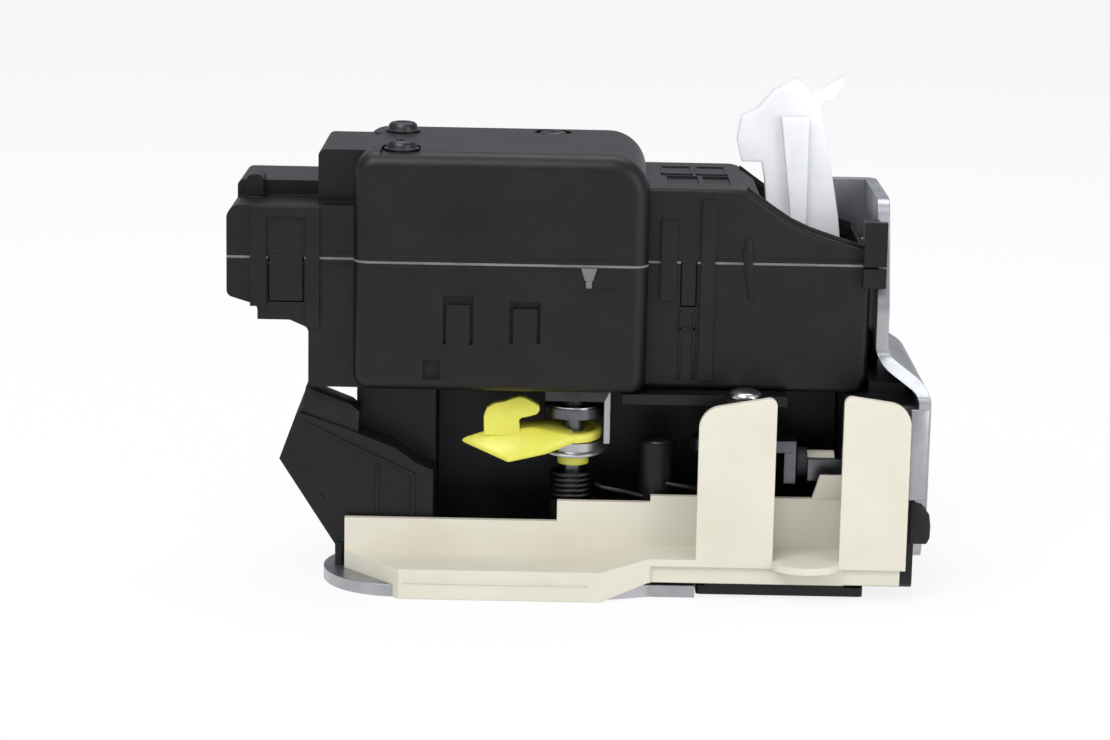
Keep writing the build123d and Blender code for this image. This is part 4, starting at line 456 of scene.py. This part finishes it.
def threads():
    """Thread ridges in the four threaded collars."""
    bm = bmesh.new()
    ridge = (COLLAR_R, COLLAR_RIDGE, COLLAR_PITCH, COLLAR_TURNS)
    for place in PLATE_COLLARS:
        spiral(bm, "end", 0, place, *ridge, start=PLATE_THREAD_START)
    spiral(bm, "top", PLATE_UNDER, BASE_COLLAR, *ridge, start=BASE_THREAD_START)
    piece("collar_threads", bm, "zinc_steel")


# Housing: each line is its face's place, x0, x1, z0, z1 and height

SEAL_TAB = [(-74.9, 40.6), (-71.5, 40.6), (-72.3, 37.9), (-74.0, 37.9)]
SEAL_STEM = (MAIN_FRONT, -73.8, -72.5, 36.3, 38.0, 0.35)
GATE_MARK = [(-39.6, 46.6), (-38.6, 46.6), (-38.2, 42.9), (-37.6, 33.4), (-38.6, 33.2), (-40.3, 42.9)]
MARK_H = 0.5
LINES = (
    (MAIN_FRONT, -77.8, -65.5, 35.7, 36.1, 0.15),
    (RIGHT_FRONT, -54.3, -49.9, 26.4, 26.9, 0.35),
    (RIGHT_FRONT, -53.6, -53.0, 15.5, 30.4, 0.35),
    (RIGHT_FRONT, -50.6, -50.0, 15.5, 30.4, 0.35),
    (MAIN_FRONT, -120.0, -65.0, 42.2, 42.55, 0.16),
    (MAIN_FRONT, -120.0, -65.0, 39.9, 40.25, 0.16),
    (LEFT_FRONT, -148.4, -124.0, 42.1, 42.5, 0.16),
    (LEFT_FRONT, -148.4, -124.0, 39.6, 40.0, 0.16),
    (RIGHT_FRONT, -45.6, -14.8, 42.0, 42.35, 0.16),
)
EJECTOR_PLACES = ((-110.0, 30.0), (-75.0, 30.0), (-40.0, 30.0), (-110.0, 54.0), (-75.0, 54.0))
EJECTOR_RING = [(2.6, 0.08, 0), (2.8, 0.08, 0), (2.8, -0.05, 0), (2.6, -0.05, 0)]
MAIN_RIBS = (-118.0, -100.5, -83.0, -66.5)
RIGHT_RIBS = (-55.0, -44.0, -33.0)
CROSS_RIBS = (19.0, 36.0)
CROSS_RIB_HALF = 0.5
CROSS_RIB_H = 0.8
BACK_RIB_SPAN = (16.5, 39.8)
BACK_LINES = ((-120.0, -62.0, 42.0, 42.8, 0.5), (-120.0, -62.0, 39.3, 39.9, 0.5))
WINDOW_SLOPE = [(-39.6, 56.75), (-37.0, 54.85), (-33.7, 52.5), (-30.0, 50.1), (-26.0, 48.25),
                (-21.8, 46.85), (-17.4, 45.4), (-14.2, 44.3)]
WINDOW_EDGES = ((-10.6, -9.4), (21.2, 22.4))
RIM_BELOW = 0.8
RIM_ABOVE = 0.7
LABELS = ((-57.6, -50.7), (-49.9, -43.1))
LABEL_SPAN = (6.0, 17.5)
LABEL_LINE = 0.4
LABEL_H = 0.28


def ribs(bm, face, at, places, span, half, h):
    """Equal ribs at several places, each reaching half to either side of its place."""
    for x in places:
        bar(bm, face, at, x - half, x + half, *span, h)


def housing_marks():
    """Small mouldings on the housing: sealing tab, lines, gate mark and ejector marks."""
    bm = bmesh.new()
    prism(bm, "front", MAIN_FRONT, SEAL_TAB, MARK_H)
    bar(bm, "front", *SEAL_STEM)
    piece("seal_tab", bm, "gasket_foam", bevel=0.12)
    bm = bmesh.new()
    prism(bm, "front", RIGHT_FRONT, GATE_MARK, MARK_H)
    for line in LINES:
        bar(bm, "front", *line)
    piece("moulded_lines", bm, "black_plastic", bevel=0.05)
    bm = bmesh.new()
    for place in EJECTOR_PLACES:
        turned(bm, "back", HOUSING_BACK, place, EJECTOR_RING, n=40, closed=True)
    piece("ejector_marks", bm, "black_plastic")


def back_ribs():
    """Stiffening ribs on the housing's back wall."""
    bm = bmesh.new()
    ribs(bm, "back", HOUSING_BACK, MAIN_RIBS, BACK_RIB_SPAN, half=0.6, h=1.1)
    for z in CROSS_RIBS:
        bar(bm, "back", HOUSING_BACK, MAIN_RIBS[0], MAIN_RIBS[-1], z - CROSS_RIB_HALF, z + CROSS_RIB_HALF,
            CROSS_RIB_H)
    ribs(bm, "back", HOUSING_BACK, RIGHT_RIBS, BACK_RIB_SPAN, half=0.5, h=0.9)
    for line in BACK_LINES:
        bar(bm, "back", HOUSING_BACK, *line)
    piece("back_ribs", bm, "black_plastic", bevel=0.15)


def window_rim():
    """Raised rim along the sloping window's front and back edges."""
    bm = bmesh.new()
    low = [(x, z - RIM_BELOW) for x, z in WINDOW_SLOPE]
    high = [(x, z + RIM_ABOVE) for x, z in WINDOW_SLOPE[::-1]]
    for y0, y1 in WINDOW_EDGES:
        prism(bm, "front", y0, low + high, 0, sink=y1 - y0)
    piece("window_rim", bm, "black_plastic", bevel=0.15)


def label_frames():
    """Two bare frames on the right block's top."""
    bm = bmesh.new()
    y0, y1 = LABEL_SPAN
    for x0, x1 in LABELS:
        bar(bm, "top", RIGHT_TOP, x0, x1, y0, y0 + LABEL_LINE, LABEL_H)
        bar(bm, "top", RIGHT_TOP, x0, x1, y1 - LABEL_LINE, y1, LABEL_H)
        bar(bm, "top", RIGHT_TOP, x0, x0 + LABEL_LINE, y0, y1, LABEL_H)
        bar(bm, "top", RIGHT_TOP, x1 - LABEL_LINE, x1, y0, y1, LABEL_H)
    piece("label_frames", bm, "black_plastic")


# Plug socket, guard and near-black gap fillers: each bar is x0, x1, z0, z1 and height

PLUG_RIBS = ((-110.9, -109.9, -21.0, -6.3, 0.5), (-118.5, -117.7, -20.5, -4.5, 0.4))
PLUG_RIDGE = [(-134.0, 4.9), (-110.0, -6.3), (-110.0, -7.1), (-134.4, 4.1)]
PLUG_RIDGE_H = 0.4
PLUG_PIP_PLACE = (-130.5, -12.3)
PLUG_PIP = [(0.8, -0.1, 0), (0.8, 0.3, 0), (0.6, 0.4, 0), (0.2, 0.4, 0)]
LEDGE = [(-133.7, 12.4), (-123.9, 8.6), (-122.1, 7.0), (-122.4, 1.0), (-134.8, 6.5)]
LEDGE_FRONT = -11.0
LEDGE_H = 1.4
LEDGE_DEPTH = 6.0
POST = (-127.2, -125.5, -29.6, -22.0, 2.4)
POST_FRONT = -13.6
NOTCH_TAB = [(-24.0, -9.9), (-17.4, -9.9), (-17.4, -4.5), (-22.3, -4.5)]
NOTCH_TAB_BACK = -14.2
NOTCH_TAB_H = 1.4
LIP_LINE = (-111.5, -72.0, -26.3, -25.9, 0.18)
END_FLANGE = (-19.0, -5.4, -26.1, -21.5, 1.6)
# near-black fillers in the lever frame's gaps and by the face plate: painted shade
FRAME_SHADE_STRIPS = ((-108.5, -104.6, -26.5, 12.9, 0.9), (-19.5, -15.7, -26.5, 12.9, 0.9))
CORNER_SHADE_BLOCKS = ((-13.4, -9.6, 15.9, 21.5, 10.0), (-13.4, -8.2, 15.9, 19.2, 10.0))
CORNER_SHADE_FRONT = 9.0
CORNER_LIP = [(-3.6, -7.6), (-1.2, -8.2), (0.6, -10.6), (0.9, -13.0), (0.85, -15.6), (0.2, -17.0),
              (-3.6, -17.0)]
CORNER_LIP_H = 0.5
CORNER_LIP_DEPTH = 1.6
RETURN_EDGE = (-4.2, -0.4, -7.4, 12.4, 0.35)


def plug_details():
    """Ribs and a pip on the plug socket's side, its top ledge and the post under it."""
    bm = bmesh.new()
    for rib in PLUG_RIBS:
        bar(bm, "front", PLUG_FRONT, *rib)
    prism(bm, "front", PLUG_FRONT, PLUG_RIDGE, PLUG_RIDGE_H)
    turned(bm, "front", PLUG_FRONT, PLUG_PIP_PLACE, PLUG_PIP, n=24)
    piece("plug_ribs", bm, "black_plastic", bevel=0.12)
    bm = bmesh.new()
    prism(bm, "front", LEDGE_FRONT, LEDGE, LEDGE_H, sink=LEDGE_DEPTH)
    bar(bm, "back", POST_FRONT, *POST, sink=0.0)
    piece("plug_top", bm, "black_plastic", bevel=0.2)


def guard_details():
    """Tab behind the notch, lip line and end flange of the cream trough."""
    bm = bmesh.new()
    prism(bm, "front", NOTCH_TAB_BACK, NOTCH_TAB, NOTCH_TAB_H, sink=0.0)
    bar(bm, "front", GUARD_FRONT, *LIP_LINE)
    bar(bm, "front", GUARD_END_FRONT, *END_FLANGE, sink=0.0)
    piece("guard_trim", bm, "cream_nylon", bevel=0.1)


def rear_shade_fills_and_trim():
    """Near-black strips in the lever frame's joints and a near-black block by the face plate, painted shade
    that fills gaps; lip by the face plate, and its return edge.
    """
    bm = bmesh.new()
    for shade_fill in FRAME_SHADE_STRIPS:
        bar(bm, "back", FRAME_BACK, *shade_fill, sink=0.0)
    piece("frame_shade_strips", bm, "rubber", bevel=0.1)
    bm = bmesh.new()
    for shade_fill in CORNER_SHADE_BLOCKS:
        bar(bm, "back", CORNER_SHADE_FRONT, *shade_fill, sink=0.0)
    piece("corner_shade_block", bm, "rubber", bevel=0.2)
    bm = bmesh.new()
    prism(bm, "front", PLATE_END_FRONT, CORNER_LIP, CORNER_LIP_H, sink=CORNER_LIP_DEPTH)
    piece("corner_lip", bm, "black_plastic", bevel=0.3)
    bm = bmesh.new()
    bar(bm, "front", PLATE_END_FRONT, *RETURN_EDGE)
    piece("plate_return_edge", bm, "zinc_steel", bevel=0.15)


# Levers, springs and rotor

EYE = (-75.7, -7.0)
LEAN = 0.145
EYE_RING = [(6.2, 1.85), (6.2, 3.3), (5.9, 3.7), (4.8, 3.7), (4.5, 3.2), (2.3, 3.2), (2.3, 1.85)]
HUB = [(2.3, -4.6, 0), (3.4, -4.6, 0), (3.4, 2.4, 0), (2.3, 2.4, 0)]
HOOK_FRONT = -13.8
HOOK_THICKNESS = 2.6
HOOK = [(-95.1, 2.6), (-95.2, 6.8), (-94.6, 8.6), (-93.1, 9.7), (-90.7, 10.2), (-89.0, 10.9),
        (-87.5, 11.3), (-86.2, 11.0), (-84.6, 10.1), (-83.3, 9.3), (-83.1, 8.4), (-83.7, 7.5),
        (-85.2, 7.0), (-87.0, 6.6), (-87.6, 6.1), (-87.4, 4.7), (-87.3, 2.6)]
BLADE = [(-100.1, -12.0, 1.5), (-99.9, -12.0, 0.6), (-97.1, -11.0, 2.2), (-95.1, -12.5, 3.3),
         (-85.0, -12.5, 4.4), (-89.7, -18.0, -1.3), (-89.7, -18.0, -2.4), (-81.8, -15.5, 0.0),
         (-81.8, -15.5, -1.1), (-75.4, -13.1, 2.7), (-75.4, -13.1, 1.0), (-95.0, -10.0, 2.6),
         (-95.0, -10.0, 1.0), (-76.0, -9.0, 3.4), (-76.0, -9.0, 1.8), (-90.0, -12.0, -0.5)]
ARM = [(-91.4, -6.0, 3.9), (-91.4, -6.0, 2.0), (-76.0, -1.4, 4.2), (-76.0, -1.4, 2.2), (-95.2, -9.5, 2.8),
       (-95.2, -9.5, 2.0), (-85.0, -12.3, 4.1), (-85.0, -12.3, 2.0), (-76.0, -12.2, 2.7), (-76.0, -12.2, 1.4)]
WASHER_RING = [(5.6, -0.9), (7.4, -0.9), (7.7, -0.7), (7.7, -0.2), (7.4, 0.0), (5.6, 0.0)]
FLANGE_TOP = 8.4
FLANGE_BOSS = [(5.9, -0.1, 0), (5.9, 0.35, 0), (5.4, 0.5, 0), (3.1, 0.5, 0), (2.9, 0.9, 0), (2.3, 0.9, 0)]
STOP_PLACE = (-57.3, -8.5)
STOP_TOP = 1.0
STOP_CAP = [(3.5, -0.1, 0), (3.4, 0.25, 0), (2.9, 0.6, 0), (1.5, 0.8, 0), (0.3, 0.82, 0)]
SPRING_WIRE_R = 0.5
EXTERIOR_LEG = [(-71.0, -7.5, -8.6), (-70.6, -11.5, -8.4), (-69.0, -13.2, -8.6), (-64.0, -13.4, -9.4),
                (-60.5, -13.0, -10.4)]
RELEASE_LEG = [(-42.5, -7.0, -9.4), (-44.0, -11.0, -9.2), (-48.0, -13.0, -8.6), (-53.5, -13.0, -7.8),
               (-55.4, -12.4, -7.6)]
ROTOR_AXIS = (1.0, 41.0)
ROTOR_ENDS = (-89.0, -72.0)
WINDING_COUNT = 5
WINDING = ((4.6, -0.42), (7.6, -0.2), (7.6, 0.2), (4.6, 0.42))
WINDING_H = 1.2


def yellow_lever():
    """Exterior lever in its node's place: pointed, sloped blade, curled hook, tilted eye and hub."""
    bm = bmesh.new()
    hull(bm, BLADE)
    piece("lever_blade", bm, "yellow_zinc", "exterior_lever", bevel=0.35)
    bm = bmesh.new()
    hull(bm, ARM)
    prism(bm, "front", HOOK_FRONT, HOOK, 0.0, sink=HOOK_THICKNESS)
    leaning_ring(bm, EYE, EYE_RING, LEAN)
    turned(bm, "top", 0.0, EYE, HUB, closed=True)
    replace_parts(piece("yellow_lever", bm, "yellow_zinc", "exterior_lever", bevel=0.2), "exterior_lever")


def lever_details():
    """Washer rim under the eye, boss on the pin's flange and cap of the stop."""
    bm = bmesh.new()
    leaning_ring(bm, EYE, WASHER_RING, LEAN)
    piece("washer_ring", bm, "grey_washer", "exterior_lever")
    bm = bmesh.new()
    turned(bm, "top", FLANGE_TOP, EYE, FLANGE_BOSS)
    piece("flange_boss", bm, "bright_steel")
    bm = bmesh.new()
    turned(bm, "top", STOP_TOP, STOP_PLACE, STOP_CAP)
    piece("stop_cap", bm, "dark_steel")


def spring_legs():
    """Free ends of the lever springs, hooked over the frame's ribs."""
    bm = bmesh.new()
    for leg in (EXTERIOR_LEG, RELEASE_LEG):
        wire_path(bm, leg, SPRING_WIRE_R)
    piece("spring_ends", bm, "spring_steel")


def motor_details():
    """Copper windings at both ends of the rotor's core."""
    bm = bmesh.new()
    y, z = ROTOR_AXIS
    low_end, high_end = ROTOR_ENDS
    for k in range(WINDING_COUNT):
        a = 2 * math.pi * (k + 0.5) / WINDING_COUNT
        pts = [(y + r * math.cos(a + w), z + r * math.sin(a + w)) for r, w in WINDING]
        prism(bm, "end", low_end, pts, 0.0, sink=WINDING_H)
        prism(bm, "end", high_end, pts, WINDING_H, sink=0.0)
    piece("windings", bm, "bronze", "motor_rotor", bevel=0.3)


# Steel plates and bottom cover

RIVETS = (((14.0, -7.0), 4.5), ((-13.0, -12.0), 3.8))
RIVET_SEAT = -0.03
RIVET_RING_SHARES = (0.42, 0.5)
RIVET_RING_H = 0.16
WELD_PLACES = ((-100.0, -18.0), (-86.0, -2.0), (-66.0, 3.0), (-100.0, 2.0))
WELD_SPOT = [(2.4, -0.1, 0), (2.4, 0.03, 0), (1.8, 0.07, 0), (1.2, 0.03, 0), (0.3, 0.01, 0)]
COVER_RIBS = (-44.0, -38.0, -32.0, -26.0)
COVER_RIB_SPAN = (-20.0, 16.0)


def plate_details():
    """Coined rings round the rivets, weld spots under the base plate and ribs under the bottom cover."""
    bm = bmesh.new()
    for place, r in RIVETS:
        inner, outer = (r * share for share in RIVET_RING_SHARES)
        ring = [(inner, 0.0, 0), (outer, 0.0, 0), (outer, RIVET_RING_H, 0), (inner, RIVET_RING_H, 0)]
        turned(bm, "end", RIVET_SEAT, place, ring, closed=True)
    piece("rivet_rings", bm, "bright_steel")
    bm = bmesh.new()
    for place in WELD_PLACES:
        turned(bm, "under", PLATE_UNDER, place, WELD_SPOT, n=32)
    piece("weld_spots", bm, "zinc_steel")
    bm = bmesh.new()
    ribs(bm, "under", COVER_UNDER, COVER_RIBS, COVER_RIB_SPAN, half=0.5, h=0.45)
    piece("cover_ribs", bm, "black_plastic", bevel=0.1)


screws()
threads()
rear_shade_fills_and_trim()
label_frames()
housing_marks()
back_ribs()
window_rim()
plug_details()
guard_details()
yellow_lever()
lever_details()
spring_legs()
motor_details()
plate_details()


# Stage, light and camera

FLOOR_DROP = 0.0001
FLOOR_HALF = 3.0
FLOOR_WHITE_SHARE = 0.86
FLOOR_BLOTCH = 3.0
FLOOR_GREYS = ((0.84, 0.84, 0.84), (0.88, 0.88, 0.88))
FLOOR_ROUGHNESS = 0.7
LIGHT_SKY = ((0.9, 0.92, 1.0, 1), 0.45)
SEEN_SKY = ((1, 1, 1, 1), 1.0)
LIGHTS = (
    ("key", (-0.35, -0.55, 0.75), (-0.08, 0, 0), (0.6, 0.5), 5.6),
    ("fill", (0.55, -0.6, 0.25), (-0.06, 0, 0.01), (0.5, 0.6), 2.7),
    ("top", (-0.08, 0.25, 0.8), (-0.08, 0, 0.02), (0.8, 0.5), 3.6),
)
CAMERA_AIM = Vector((-80.0, 1.0, 14.2)) * MM
CAMERA_DISTANCE = 678.33 * MM
CAMERA_ELEVATION = math.radians(12.0)
CAMERA_ROLL = 0.0192
LENS = 100.0
SENSOR = 36.0


def floor_mat():
    """Pale floor that is near white to the camera and white in reflections."""
    mat, tree, shader = new_mat("pale_floor")
    colour = ramp(tree, noise(tree, coords(tree), FLOOR_BLOTCH), zip(BLOTCH_SPAN, FLOOR_GREYS))
    tree.links.new(colour, shader.inputs["Base Color"])
    shader.inputs["Roughness"].default_value = FLOOR_ROUGHNESS
    out = [n for n in tree.nodes if n.type == "OUTPUT_MATERIAL"][0]
    rays = tree.nodes.new("ShaderNodeLightPath").outputs
    glow = tree.nodes.new("ShaderNodeEmission")
    glow.inputs["Color"].default_value = (1, 1, 1, 1)
    glow.inputs["Strength"].default_value = 1.0
    mixer = tree.nodes.new("ShaderNodeMixShader")
    mirrored = math_node(tree, "MAXIMUM", rays["Is Glossy Ray"], rays["Is Transmission Ray"])
    seen = math_node(tree, "MULTIPLY", rays["Is Camera Ray"], FLOOR_WHITE_SHARE)
    tree.links.new(math_node(tree, "MAXIMUM", mirrored, seen), mixer.inputs[0])
    tree.links.new(shader.outputs[0], mixer.inputs[1])
    tree.links.new(glow.outputs[0], mixer.inputs[2])
    tree.links.new(mixer.outputs[0], out.inputs[0])
    return mat


def floor():
    """Large level floor just under the part."""
    z = cad_lo.z - FLOOR_DROP
    s = FLOOR_HALF
    mesh = bpy.data.meshes.new("floor")
    mesh.from_pydata([(-s, -s, z), (s, -s, z), (s, s, z), (-s, s, z)], [], [(0, 1, 2, 3)])
    mesh.update()
    o = bpy.data.objects.new("floor", mesh)
    bpy.context.scene.collection.objects.link(o)
    mesh.materials.append(floor_mat())


def studio():
    """World that lights softly and is white to the camera."""
    world = bpy.data.worlds.new("studio")
    bpy.context.scene.world = world
    world.use_nodes = True
    tree = world.node_tree
    tree.nodes.clear()
    out = tree.nodes.new("ShaderNodeOutputWorld")
    mixer = tree.nodes.new("ShaderNodeMixShader")
    for k, (colour, strength) in enumerate((LIGHT_SKY, SEEN_SKY)):
        sky = tree.nodes.new("ShaderNodeBackground")
        sky.inputs["Color"].default_value = colour
        sky.inputs["Strength"].default_value = strength
        tree.links.new(sky.outputs[0], mixer.inputs[k + 1])
    rays = tree.nodes.new("ShaderNodeLightPath").outputs
    tree.links.new(rays["Is Camera Ray"], mixer.inputs[0])
    tree.links.new(mixer.outputs[0], out.inputs[0])


def area_light(name, place, target, size, power):
    """Rectangular light at a place, turned to its target."""
    light = bpy.data.lights.new(name, "AREA")
    light.shape = "RECTANGLE"
    light.size, light.size_y = size
    light.energy = power
    obj = bpy.data.objects.new(name, light)
    bpy.context.scene.collection.objects.link(obj)
    obj.location = place
    obj.rotation_mode = "QUATERNION"
    obj.rotation_quaternion = (Vector(target) - Vector(place)).to_track_quat("-Z", "Y")


def camera():
    """The photo's view: from the front, a little above, with a slight roll."""
    back = Vector((0, -math.cos(CAMERA_ELEVATION), math.sin(CAMERA_ELEVATION)))
    lens = bpy.data.cameras.new("camera")
    lens.lens = LENS
    lens.sensor_width = SENSOR
    lens.sensor_fit = "HORIZONTAL"
    lens.clip_start = 0.05
    lens.clip_end = 20
    obj = bpy.data.objects.new("camera", lens)
    bpy.context.scene.collection.objects.link(obj)
    obj.location = CAMERA_AIM + back * CAMERA_DISTANCE
    obj.rotation_mode = "QUATERNION"
    roll = Matrix.Rotation(CAMERA_ROLL, 3, "Z").to_quaternion()
    obj.rotation_quaternion = (-back).to_track_quat("-Z", "Y") @ roll
    bpy.context.scene.camera = obj


floor()
studio()
for light in LIGHTS:
    area_light(*light)
camera()
bpy.context.scene.view_settings.view_transform = "Standard"
